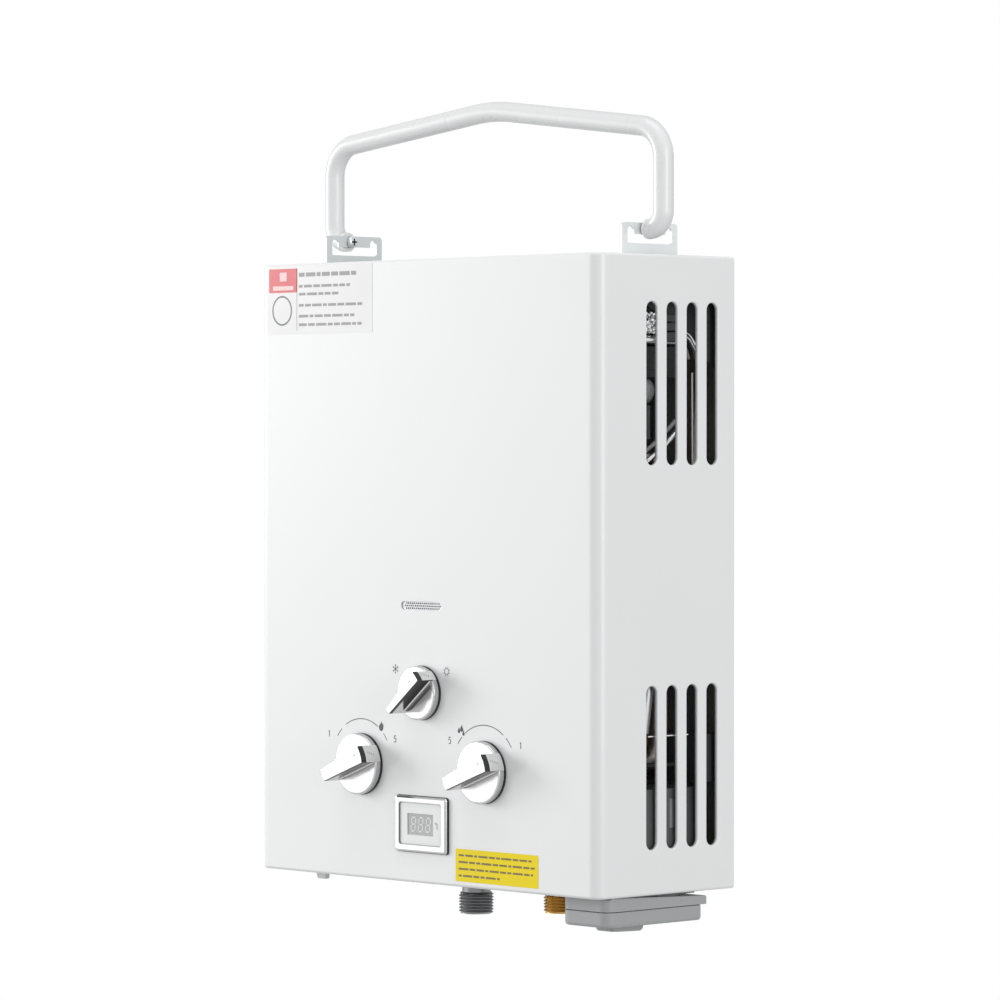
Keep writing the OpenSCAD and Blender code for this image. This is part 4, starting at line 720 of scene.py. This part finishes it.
def flat_shape(bm, points, h=PRINT_H):
    """Thin printed shape on the front, from (x, z) points."""
    fill(bm, [bm.verts.new(P(x, -h, z)) for x, z in points])


def flat_piece(name, finish, shapes, h):
    """Piece of flat shapes at one height above the front."""
    bm = bmesh.new()
    for points in shapes:
        flat_shape(bm, points, h)
    obj = new_object(name, bm, finish, smooth=None)
    place(obj, "casing")
    return obj


def stroke(bm, points, width, h=PRINT_H, closed=False):
    """Printed line of even width along (x, z) points."""
    n = len(points)
    left, right = [], []
    for i, (x, z) in enumerate(points):
        a = points[(i - 1) % n] if closed or i else points[i]
        b = points[(i + 1) % n] if closed or i < n - 1 else points[i]
        dx, dz = b[0] - a[0], b[1] - a[1]
        length = math.hypot(dx, dz) or 1
        ox, oz = -dz / length * width / 2, dx / length * width / 2
        left.append(bm.verts.new(P(x + ox, -h, z + oz)))
        right.append(bm.verts.new(P(x - ox, -h, z - oz)))
    band(bm, right, left, closed)


DIGIT_H, DIGIT_W = 3.8, 2.356
DIGIT_LINES = {
    "1": ((0.35, 0.8), (0.62, 1.0), (0.62, 0.0)),
    "5": ((0.85, 1.0), (0.25, 1.0), (0.2, 0.56), (0.5, 0.64), (0.78, 0.55), (0.88, 0.32), (0.76, 0.08),
          (0.48, 0.0), (0.18, 0.07))}


def make_print():
    bm = bmesh.new()
    for cx, r, arcs in ((-DIAL_X, 27.0, ((122, 58), (131.4, 144.2), (44.7, 33.5))),
                        (DIAL_X, 27.6, ((126, 54.5), (133.7, 145), (49, 34.2)))):
        for a0, a1 in arcs:
            stroke(bm, arc_2d(cx, DIAL_Z, r, a0, a1, 40), 0.5)
    for digit, cx, cz in (("1", -83.1, 85.4), ("5", -24.0, 84.6), ("5", 23.8, 85.9), ("1", 83.9, 85.5)):
        stroke(bm, [(cx + (u - 0.5) * DIGIT_W, cz + (v - 0.5) * DIGIT_H) for u, v in DIGIT_LINES[digit]], 0.62)
    flame = [(0, 2.6), (0.9, 1.2), (1.35, 1.5), (1.75, 0.2), (1.6, -1.2), (0.9, -2.3), (0, -2.6), (-0.9, -2.3),
             (-1.6, -1.2), (-1.75, 0.0), (-1.1, 1.0), (-0.75, 0.6)]
    flat_shape(bm, [(-36.3 + u * 1.15, 91.7 + v * 1.15) for u, v in flame])
    drop = [(0, 1.9)] + arc_2d(0, -0.4, 1.0, 30, -210, 12)
    for cx, cz, size in ((31.8, 92.1, 1.1), (34.1, 93.2, 1.3), (35.7, 90.6, 1.0)):
        flat_shape(bm, [(cx + u * size, cz + v * size) for u, v in drop])
    # snow crystal at the left of the season knob, sun at its right
    snow, sun = (-23.5, 126.4), (21.2, 126.4)
    for k in range(6):
        a = math.radians(90 + 60 * k)
        if k < 3:
            stroke(bm, [polar(*snow, -2.8, a), polar(*snow, 2.8, a)], 0.4)
        fork = polar(*snow, 1.7, a)
        for turn in (-0.75, 0.75):
            stroke(bm, [fork, polar(*fork, 0.85, a + turn)], 0.28, PRINT_H * 1.2)
    stroke(bm, circle_2d(*sun, 1.8, 28), 0.42, closed=True)
    for k in range(8):
        a = math.radians(45 * k + 22.5)
        stroke(bm, [polar(*sun, 2.3, a), polar(*sun, 3.0, a)], 0.42)
    place(new_object("dial_print", bm, "print_soft", smooth=None), "casing")


def bar_row(x0, z, width, h, lengths, first, gap, spare, r):
    """Row of plain bars from x0 with the given lengths in turn, up to spare short of its width."""
    shapes, x, cell = [], x0, first
    while x < x0 + width - spare:
        w = min(lengths[cell % len(lengths)], x0 + width - x)
        shapes.append(rect_2d(x + w / 2, z, w, h, r, 2))
        x += w + gap
        cell += 1
    return shapes


def make_labels():
    film = flat_piece("corner_film", "film_clear", [rect_2d(-92.0, 348.1, 96.0, 41.4, 1.2)], LABEL_H)
    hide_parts("corner_label")
    flat_piece("corner_red_block", "film_red", [rect_2d(-125.15, 359.85, 26.1, 14.5, 0.6)], LABEL_PRINT_H)
    pale = [rect_2d(-125.0, 355.3, 19.0, 2.6, 0.3), rect_2d(-125.0, 362.2, 6.4, 5.4, 0.4)]
    flat_piece("corner_red_bars", "film_pale_red", pale, LABEL_TOP_H)
    bm = bmesh.new()
    stroke(bm, circle_2d(-126.1, 341.6, 8.6, 48), 1.0, LABEL_PRINT_H, closed=True)
    place(new_object("corner_ring", bm, "print_grey", smooth=None), "casing")
    bars = [rect_2d(-112.5, 348.4, 0.35, 38.0)]
    lengths = (5.2, 8.6, 3.4, 7.2, 6.1, 9.3, 4.4)
    for k, (z, width, h) in enumerate(((363.2, 54.0, 2.4), (356.2, 46.5, 1.6), (351.4, 36.0, 1.6),
                                       (344.6, 57.5, 1.6), (338.0, 50.5, 1.6), (332.8, 57.0, 1.6))):
        bars += bar_row(-110.6, z, width, h, lengths, 2 * k, 1.3, 2, 0.2)
    flat_piece("corner_bars", "film_bar", bars, LABEL_PRINT_H)
    yellow = flat_piece("yellow_film", "film_yellow", [rect_2d(63.9, 13.0, 70.0, 19.2, 0.8)], LABEL_H)
    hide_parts("note_label")
    bars = []
    lengths = (4.6, 6.4, 2.6, 7.8, 5.0, 3.4, 8.4)
    for k, (z, width) in enumerate(((18.9, 62.0), (14.9, 64.5), (10.9, 63.0), (6.9, 35.0))):
        bars += bar_row(31.6, z, width, 1.15, lengths, 3 * k, 1.1, 1.5, 0.15)
    flat_piece("yellow_bars", "yellow_bar", bars, LABEL_PRINT_H)


# ---------- display ----------

BEZEL_X, BEZEL_Z, PANEL_Z = 0.3, 35.0, 35.3
WINDOW_X, WINDOW_Z = -0.4, 34.9
PANEL_H, WINDOW_H, SEGMENT_H, MARK_H = 1.5, 0.95, 1.0, 1.56


def make_display():
    bm = bmesh.new()
    steps = ((45.0, 33.0, 0.0, BEZEL_Z, 1.6), (45.0, 33.0, -1.4, BEZEL_Z, 1.6),
             (44.5, 32.5, -1.9, BEZEL_Z, 1.5), (42.6, 30.6, -2.5, BEZEL_Z, 1.4),
             (37.4, 25.6, -2.5, PANEL_Z, 1.7), (36.6, 24.8, -2.2, PANEL_Z, 1.5),
             (36.6, 24.8, 0.6, PANEL_Z, 1.5))
    ring_strip(bm, [[P(x, y, z) for x, z in rect_2d(BEZEL_X, cz, w, h, r)] for w, h, y, cz, r in steps])
    bezel = new_object("display_frame", bm, "bezel_chrome", smooth=25)
    # dark foot of the frame's outer wall and dark inner wall: painted shade along the frame's edges
    wall, inner_shade_level = P(0, -1.0, 0).y, P(0, -2.1, 0).y
    centre = P(BEZEL_X, 0, PANEL_Z)
    finish_faces(bezel, ("bezel_groove", lambda c, n: c.y > wall or (
        c.y > inner_shade_level and abs(c.x - centre.x) < 18.9 * MM and abs(c.z - centre.z) < 12.9 * MM)))
    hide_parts("display_bezel")
    place(bezel, "casing")
    # thin dark ring round the frame's foot: painted contact shadow on the panel
    bm = bmesh.new()
    outer, inner = [verts_at(bm, [P(x, -0.08, z) for x, z in rect_2d(BEZEL_X, BEZEL_Z, w, h, r)])
                    for w, h, r in ((45.9, 33.9, 2.0), (44.9, 32.9, 1.6))]
    fill(bm, outer, [inner])
    place(new_object("display_foot_shadow", bm, "bezel_groove", smooth=None), "casing")
    window = rect_2d(WINDOW_X, WINDOW_Z, 22.4, 12.7, 0.4)
    bm = bmesh.new()
    outer, inner, deep = [verts_at(bm, [P(x, -h, z) for x, z in shape]) for h, shape in (
        (PANEL_H, rect_2d(BEZEL_X, PANEL_Z, 36.6, 24.8, 1.5)),
        (PANEL_H, rect_2d(WINDOW_X, WINDOW_Z, 22.6, 12.9, 0.4)), (0.9, window))]
    fill(bm, outer, [inner])
    band(bm, inner, deep)
    face = new_object("display_panel", bm, "display_plastic", smooth=30)
    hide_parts("display_face")
    place(face, "casing")
    glass = flat_piece("display_window", "display_glass", [window], WINDOW_H)
    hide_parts("display_digits")
    # unlit digits: three horizontal and four upright segments each, leaning a little, with a point
    segments = [((-0.72, v), (0.72, v)) for v in (-1, 0, 1)]
    segments += [((u, v0), (u, v1)) for u in (-1, 1) for v0, v1 in ((0.14, 0.86), (-0.86, -0.14))]
    half_w, half_h, lean = 1.75, 4.1, 0.10
    bm = bmesh.new()
    for x0 in (WINDOW_X - 6.4, WINDOW_X, WINDOW_X + 6.4):
        for points in segments:
            line = [(x0 + u * half_w + v * half_h * lean, WINDOW_Z + v * half_h) for u, v in points]
            stroke(bm, line, 0.95, SEGMENT_H)
        flat_shape(bm, circle_2d(x0 + 2.7, WINDOW_Z - half_h + 0.1, 0.3, 12), SEGMENT_H)
    place(new_object("display_segments", bm, "digit_unlit", smooth=None), "casing")
    bm = bmesh.new()
    stroke(bm, [(14.4, 32.9), (14.4, 36.4)], 0.5, MARK_H)
    stroke(bm, circle_2d(13.1, 36.3, 0.42, 14), 0.3, MARK_H, closed=True)
    place(new_object("display_unit_mark", bm, "print_soft", smooth=None), "casing")


# ---------- pipe connections ----------

THREAD_PITCH, THREAD_R, THREAD_DEPTH = 1.814, 10.478, 1.16
BORE_R, NECK_TOP = 5.5, 50.0
HEX_ACROSS, HEX_FOOT, HEX_TOP = 24, 8, 17


def make_thread(name, cx, z_low, turns, metal, neck_r):
    """Male pipe thread with a real helix, a chamfered end, a bore and a neck that goes up into the casing."""
    seg, steps = 48, 8
    root = THREAD_R - THREAD_DEPTH
    z_high = z_low + turns * THREAD_PITCH

    def plain(*profile):
        return [[P(x, y, z) for x, y in circle_2d(cx, FITTING_Y, r, seg)] for r, z in profile]

    grid = []
    for k in range(int(turns * steps) + 1):
        z = z_low + k / steps * THREAD_PITCH
        fade = max(0.0, min(1.0, (z - z_low) / 1.3 + 0.12, z_high - z + 0.1))
        ring = []
        for i in range(seg):
            phase = (k / steps + i / seg) % 1.0
            crest = min(1.0, max(0.0, 1 - abs(phase - 0.5) * 2.35) * 1.25)
            x, y = polar(cx, FITTING_Y, root + THREAD_DEPTH * crest * fade, 2 * math.pi * i / seg)
            ring.append(P(x, y, z))
        grid.append(ring)
    bottom = plain((BORE_R, z_low + 12), (BORE_R, z_low + 0.4), (BORE_R + 0.4, z_low), (root - 0.5, z_low))
    bm = bmesh.new()
    ring_strip(bm, bottom + grid + plain((neck_r, z_high + 0.2), (neck_r, NECK_TOP)), ends=True)
    obj = new_object(name, bm, metal, smooth=60)
    place(obj, "casing")
    return obj


def make_hexagon(name, cx, metal):
    """Spanner hexagon of a pipe connection."""
    ring = arc_2d(cx, FITTING_Y, HEX_ACROSS / math.sqrt(3), 12, 372, 6)[:-1]
    bm = bmesh.new()
    ring_strip(bm, [[P(x, y, z) for x, y in ring] for z in (HEX_FOOT, HEX_TOP)], ends=True)
    place(new_object(name, bm, metal, bevel=(0.5, 2)), "casing")


def make_fittings():
    steel = make_thread("gas_thread", 0, -20.4, 7.0, "inlet_steel", 8.6)
    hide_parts("gas_inlet")
    water = make_thread("water_thread", WATER_X, -15.0, 6.0, "brass_turned", 9.2)
    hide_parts("water_inlet")
    make_hexagon("gas_hexagon", 0, "inlet_steel")
    make_hexagon("water_hexagon", WATER_X, "brass_turned")
    bm = bmesh.new()
    lathe(bm, [(0.01, -1.0), (4.4, -1.0), (5.0, -0.5), (5.0, 9.0), (0.01, 9.0)],
          lambda u, v, h: P(DRAIN_X + u, DRAIN_Y + v, h), 32)
    wing = [(-5.0, -0.6), (-3.4, -6.2), (-2.7, -6.9), (3.8, -6.9), (4.6, -6.2), (5.0, -0.6)]
    faces_y = (DRAIN_Y - 1.7, DRAIN_Y + 1.7)
    ring_strip(bm, [[P(DRAIN_X + x, y, z) for x, z in wing] for y in faces_y], ends=True)
    plug = new_object("drain_wing", bm, "drain_plastic", bevel=(0.4, 3))
    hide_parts("drain_plug")
    place(plug, "drain")


# ---------- battery box ----------

BOX_LEFT, BOX_RIGHT, BOX_FRONT, BOX_REAR = 105.6, 144.6, 11.0, 93.0
LID_REAR, SLOPE_Y = 88.1, 83


def box_ring(inset, z, rear=BOX_REAR, rear_z=None):
    """Outline of the battery box at a height; rear_z is the height at its rear edge."""
    x0, x1, y0, y1 = BOX_LEFT + inset, BOX_RIGHT - inset, BOX_FRONT + inset, rear - inset
    r, rear_r = max(7.0 - inset, 0.3), max(1.2 - inset * 0.5, 0.3)
    points = (arc_2d(x0 + r, y0 + r, r, 180, 270, 10) + arc_2d(x1 - r, y0 + r, r, 270, 360, 10)
              + arc_2d(x1 - rear_r, y1 - rear_r, rear_r, 0, 90, 4)
              + arc_2d(x0 + rear_r, y1 - rear_r, rear_r, 90, 180, 4))
    drop = 0 if rear_z is None else (rear_z - z) / (rear - SLOPE_Y)
    return [P(x, y, z + drop * max(y - SLOPE_Y, 0)) for x, y in points]


def hinge_knuckle(bm, x):
    lathe(bm, [(0.01, 0), (2.3, 0), (2.3, 9), (0.01, 9)],
          lambda u, v, h: P(x + h, HINGE_Y + u, HINGE_Z + v), 24)


def make_battery_box():
    bm = bmesh.new()
    rings = [box_ring(1.6, -7.9), box_ring(0.25, -8.15), box_ring(0.0, -7.9), box_ring(0.0, -0.9, rear_z=-4.0),
             box_ring(0.15, -0.35, rear_z=-3.7), box_ring(0.6, -0.1, rear_z=-3.6)]
    verts = ring_strip(bm, rings)
    cap(bm, verts[0])
    fill(bm, verts[-1])
    box_mesh(bm, (106.6, 12, -1), (143.6, 83.2, 60.7))
    for x in (111.3, 129.9):
        hinge_knuckle(bm, x)
    shell = new_object("battery_case", bm, "box_plastic", smooth=35)
    # the box above its bottom, inside the casing, is the same plastic made dark: painted shade
    shade_from_z = P(0, 0, 1).z
    finish_faces(shell, ("box_inside", lambda c, n: c.z > shade_from_z))
    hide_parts("battery_box")
    place(shell, "casing")
    bm = bmesh.new()
    ring_strip(bm, [box_ring(inset, z, LID_REAR) for inset, z in (
        (1.4, -15.7), (1.4, -8.5), (0.3, -8.5), (0.0, -8.8), (0.0, -15.2), (0.2, -16.2), (0.75, -16.95),
        (1.5, -17.25), (2.4, -17.3))], ends=True)
    hinge_knuckle(bm, 120.6)
    box_mesh(bm, (120.6, 86.5, -11.2), (129.6, HINGE_Y, -9.2))
    door = new_object("battery_lid", bm, "box_plastic", smooth=35)
    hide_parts("battery_door")
    place(door, "door")
    rings = []
    for y, half, drop in ((27.2, 6.0, 3.3), (28.2, 8.6, 3.9), (34.0, 8.9, 4.2), (44.0, 9.0, 4.5),
                          (50.2, 9.0, 4.7), (51.6, 8.8, 4.5)):
        section = ((-1.0, 0.0), (-0.86, 0.72), (-0.7, 1.0), (0.7, 1.0), (0.86, 0.72), (1.0, 0.0))
        rings.append([P(DOOR_X + x * half, y, -17.2 - d * drop) for x, d in section])
    bm = bmesh.new()
    ring_strip(bm, rings, ends=True)
    place(new_object("battery_lid_pull", bm, "box_plastic", bevel=(0.3, 2)), "door")


# ---------- pieces that keep the mesh of the solids ----------

def finish_plain_pieces():
    """Finishes and widths of rounded edges, or None where the edges stay sharp."""
    for finish, width, nodes in (
            ("plug_plastic", 0.35, "handle_plugs"),
            ("washer_black", 0.15, "handle_washers"),
            ("bracket_left_zinc", 0.22, "bracket_left"),
            ("bracket_right_zinc", 0.22, "bracket_right"),
            ("back_zinc", 0.3, "back_plate"),
            ("screw_zinc", 0.25, "cover_screws"),
            ("screw_zinc", 0.4, "plate_rivets"),
            ("mesh_steel", None, "sight_mesh"),
            ("valve_alloy", 0.8, "gas_valve"),
            ("solenoid_paint", 0.5, "gas_solenoid"),
            ("plate_zinc", 0.6, "gas_manifold"),
            ("plate_zinc", 0.3, "valve_bracket chamber_struts"),
            ("brass_turned", None, "gas_nozzles"),
            ("brass_cast", 1.0, "water_valve"),
            ("brass_cast", 0.6, "diaphragm_housing"),
            ("brass_cast", 0.3, "hot_outlet"),
            ("switch_plastic", 0.3, "microswitch"),
            ("burner_steel", 0.2, "burner_bars burner_frame"),
            ("hood_steel", 0.3, "flue_hood"),
            ("copper_dull", 0.3, "chamber_jacket"),
            ("copper_dull", None, "exchanger_fins"),
            ("copper_tinned", None, "gas_feed_pipe exchanger_pipe cold_pipe hot_pipe"),
            ("ceramic_white", 0.3, "thermal_cutout"),
            ("ceramic_white", 0.2, "spark_electrodes"),
            ("igniter_plastic", 1.2, "igniter_box"),
            ("lead_black", None, "battery_lead display_lead cutout_lead"),
            ("lead_red", None, "ignition_lead")):
        for node in nodes.split():
            paint(node, finish)
            if width:
                soften(node, width)
            else:
                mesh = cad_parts[node].data
                mesh.shade_smooth()
                mesh.set_sharp_from_angle(angle=math.radians(35))
    for node, finish in (("display_board", "board_green"), ("hinge_pin", "screw_zinc"),
                         ("box_contacts", "contact_spring"), ("door_contact", "contact_spring"),
                         ("battery_cells", "cell_paint")):
        paint(node, finish)
    soften("battery_cells", 0.8, 3)


# ---------- pieces that show through the side slots ----------

def make_foil():
    """Crinkled insulation foil round the pipes at the upper end of the heat exchanger, near each side wall."""
    cols, rows = 26, 10
    for side, name in ((-1, "foil_left"), (1, "foil_right")):
        rings = []
        for j in range(rows + 1):
            ring = []
            for i in range(cols + 1):
                wave = (0.9 * math.sin(i * 1.7 + 2.1 * j) * math.sin(i * 0.63 + j * 1.3)
                        + 0.6 * math.sin(i * 3.1 - j * 2.3) + 0.4 * math.sin(i * 5.3 + j * 4.1))
                z = 324.3 + j * 1.22 + 0.4 * math.sin(i * 0.9)
                ring.append(P(side * (135.0 + wave), 46.0 + 16.0 * i / cols, z))
            rings.append(ring)
        bm = bmesh.new()
        ring_strip(bm, rings, closed=False)
        place(new_object(name, bm, "foil_bright", smooth=20), "casing")


def make_tubes():
    """Pipe loops beside the heat exchanger and the burner."""
    for name, radius, metal, points in (
            ("foil_band", 2.5, "tube_bright", ((135, 46, 320.8), (135, 62, 320.8))),
            ("foil_cord", 0.8, "tube_bright", ((134, 62, 319.5), (134, 80, 319.0))),
            ("loop_low", 1.7, "tube_bright", ((135, 46, 246.5), (135, 62, 256.0), (134, 80, 269.0))),
            ("loop_high", 1.5, "cap_satin", ((132, 46, 251.5), (132, 62, 261.0), (131, 80, 274.0))),
            ("loop_bend", 2.0, "tube_bright", ((134, 78, 326.5), (136, 86, 323.5), (137, 91.5, 315.0),
                                               (137, 92.2, 300.0), (137, 91.0, 247.0))),
            ("loop_bend_inner", 1.1, "cap_satin", ((133, 78, 320.5), (134, 85, 318.0), (134, 88.0, 310.0))),
            ("drop_tube", 0.7, "tube_bright", ((137, 87.6, 302), (137, 88.0, 247))),
            ("side_pipe", 3.4, "valve_alloy", ((139, 50.6, 128.0), (139, 48.2, 112.0), (139, 45.0, 93.0)))):
        bm = bmesh.new()
        sweep(bm, rounded_path([P(*p) for p in points], 9), radius * MM, 20)
        place(new_object(name, bm, metal, smooth=50), "casing")


def box_piece(name, finish, boxes, **look):
    """Piece of plain boxes, each given by two corners."""
    bm = bmesh.new()
    for low, high in boxes:
        box_mesh(bm, low, high)
    place(new_object(name, bm, finish, **look), "casing")


def make_side_pieces():
    """Blocks, caps and sheets inside the right side wall."""
    ribs = [((134, 47, z), (134.6, 79, z + 1.2)) for z in (303.5, 308.0, 312.5)]
    # the last box is a thin black sheet at the battery box's tower: painted shade seen through the lower slot
    boxes = [((124, 46, 299), (134, 80, 317)), *ribs, ((143.6, 76.4, 1.5), (144.0, 83.3, 60.7))]
    box_piece("sensor_block", "block_black", boxes, bevel=(0.5, 2))
    bm = bmesh.new()
    lathe(bm, [(0.01, 6.0), (4.0, 5.6), (7.5, 4.2), (9.6, 2.2), (10.2, 0.0), (10.2, -4.0), (0.01, -4.0)],
          lambda u, v, h: P(129 + h, 54.5 + u * 0.8, 291.5 + v * 0.8), 40)
    place(new_object("sensor_cap", bm, "cap_satin", smooth=40), "casing")
    spans = ((320.0, 325.6), (326.2, 331.0), (331.6, 336.0))
    wraps = [((132.5, 62.5, z0), (135.0, 80, z1)) for z0, z1 in spans]
    box_piece("pipe_sleeve", "pipe_wrap", [*wraps, ((131, 46, 263), (132.5, 58, 283))], bevel=(0.6, 3))
    bm = bmesh.new()
    gusset = [(96.5, 345.0), (96.5, 309.0), (106.5, 303.5), (106.5, 345.0)]
    ring_strip(bm, [[P(x, y, z) for y, z in gusset] for x in (139.4, 140.0)], ends=True)
    place(new_object("rear_gusset", bm, "pipe_wrap", smooth=None), "casing")
    box_piece("igniter_shelf", "tube_bright", [((106, 43, 91.3), (145.5, 76, 91.9))], smooth=None)
    bm = bmesh.new()
    lathe(bm, [(0.01, 38.0), (3.6, 38.0), (3.6, 55.0), (3.0, 55.6), (0.01, 55.6)],
          lambda u, v, h: P(141.0 + u, 64.6 + v, h), 28)
    place(new_object("box_post", bm, "pipe_wrap", smooth=40), "casing")


# ---------- stage ----------

def grey_curve(tree, socket, stops):
    """Grey level along one axis of the surroundings, from -1 to 1."""
    shift = add_node(tree, "Math", {1: 0.5, 2: 0.5}, operation="MULTIPLY_ADD")
    tree.links.new(socket, shift.inputs[0])
    ramp = add_node(tree, "ValToRGB")
    tree.links.new(shift.outputs[0], ramp.inputs["Fac"])
    points = ramp.color_ramp.elements
    while len(points) < len(stops):
        points.new(0.5)
    for item, (at, level) in zip(points, stops):
        item.position = (at + 1) / 2
        item.color = (level, level, level, 1)
    return ramp.outputs["Color"]


def multiplied(tree, a, b):
    mix = add_node(tree, "Mix", data_type="RGBA", blend_type="MULTIPLY")
    mix.inputs["Factor"].default_value = 1.0
    tree.links.new(a, mix.inputs["A"])
    tree.links.new(b, mix.inputs["B"])
    return mix.outputs["Result"]


def larger(tree, a, b):
    most = add_node(tree, "Math", operation="MAXIMUM")
    tree.links.new(a, most.inputs[0])
    tree.links.new(b, most.inputs[1])
    return most.outputs[0]


def make_surroundings():
    """Studio that lights softly in greys and is plain white where it is seen or mirrored."""
    world = bpy.data.worlds.new("studio")
    bpy.context.scene.world = world
    world.use_nodes = True
    tree = world.node_tree
    tree.nodes.clear()
    out = add_node(tree, "OutputWorld")
    background = add_node(tree, "Background", {"Strength": 1.0})
    coord = add_node(tree, "TexCoord")
    split = add_node(tree, "SeparateXYZ")
    tree.links.new(coord.outputs["Generated"], split.inputs[0])
    behind = add_node(tree, "VectorMath", operation="DOT_PRODUCT")
    behind.inputs[1].default_value = (-0.70, 0.71, 0.0)
    tree.links.new(coord.outputs["Generated"], behind.inputs[0])
    side = grey_curve(tree, split.outputs["X"], (
        (-1.0, 0.80), (0.0, 0.62), (0.5, 0.50), (0.85, 0.74), (1.0, 0.80)))
    height = grey_curve(tree, split.outputs["Z"], (
        (-1.0, 0.72), (-0.45, 0.70), (-0.15, 0.86), (0.2, 1.0), (1.0, 0.95)))
    back = grey_curve(tree, behind.outputs["Value"], (
        (-1.0, 1.0), (0.15, 1.0), (0.6, 0.42), (0.9, 0.22), (1.0, 0.22)))
    grey = multiplied(tree, multiplied(tree, side, height), back)
    path = add_node(tree, "LightPath")
    seen = larger(tree, path.outputs["Is Camera Ray"], path.outputs["Is Transmission Ray"])
    seen = larger(tree, seen, path.outputs["Is Glossy Ray"])
    tree.links.new(mix_to(tree, seen, grey, (1, 1, 1)), background.inputs["Color"])
    tree.links.new(background.outputs[0], out.inputs["Surface"])


def make_stage():
    scene = bpy.context.scene
    scene.view_settings.view_transform = "Standard"
    camera = bpy.data.cameras.new("camera")
    camera.lens = 174.05
    camera.sensor_width = 36
    camera.clip_end = 50
    eye = bpy.data.objects.new("camera", camera)
    eye.location = (2.1047, -2.0514, 0.0773)
    eye.rotation_euler = (math.radians(89.298), 0, math.radians(46.42))
    scene.collection.objects.link(eye)
    scene.camera = eye
    for name, at, aim, w, h, power in (
            ("card_left", (-2.1, -2.05, 0.0), (0, -0.05, -0.02), 2.2, 1.8, 15.5),
            ("key_left", (-2.3, -1.15, 0.45), (0, -0.1, 0), 0.8, 0.9, 28),
            ("fill_right", (2.6, -0.4, 0.5), (0, -0.05, 0), 1.2, 1.6, 22),
            ("top", (0.1, -0.4, 2.4), (0, -0.05, 0), 1.6, 1.6, 17)):
        light = bpy.data.lights.new(name, "AREA")
        light.shape = "RECTANGLE"
        light.size, light.size_y = w, h
        light.energy = power
        lamp = bpy.data.objects.new(name, light)
        lamp.location = at
        lamp.rotation_euler = (Vector(aim) - Vector(at)).to_track_quat("-Z", "Y").to_euler()
        scene.collection.objects.link(lamp)


make_cover()
make_handle()
make_knobs()
make_print()
make_labels()
make_display()
make_fittings()
make_battery_box()
finish_plain_pieces()
make_foil()
make_tubes()
make_side_pieces()
make_surroundings()
make_stage()
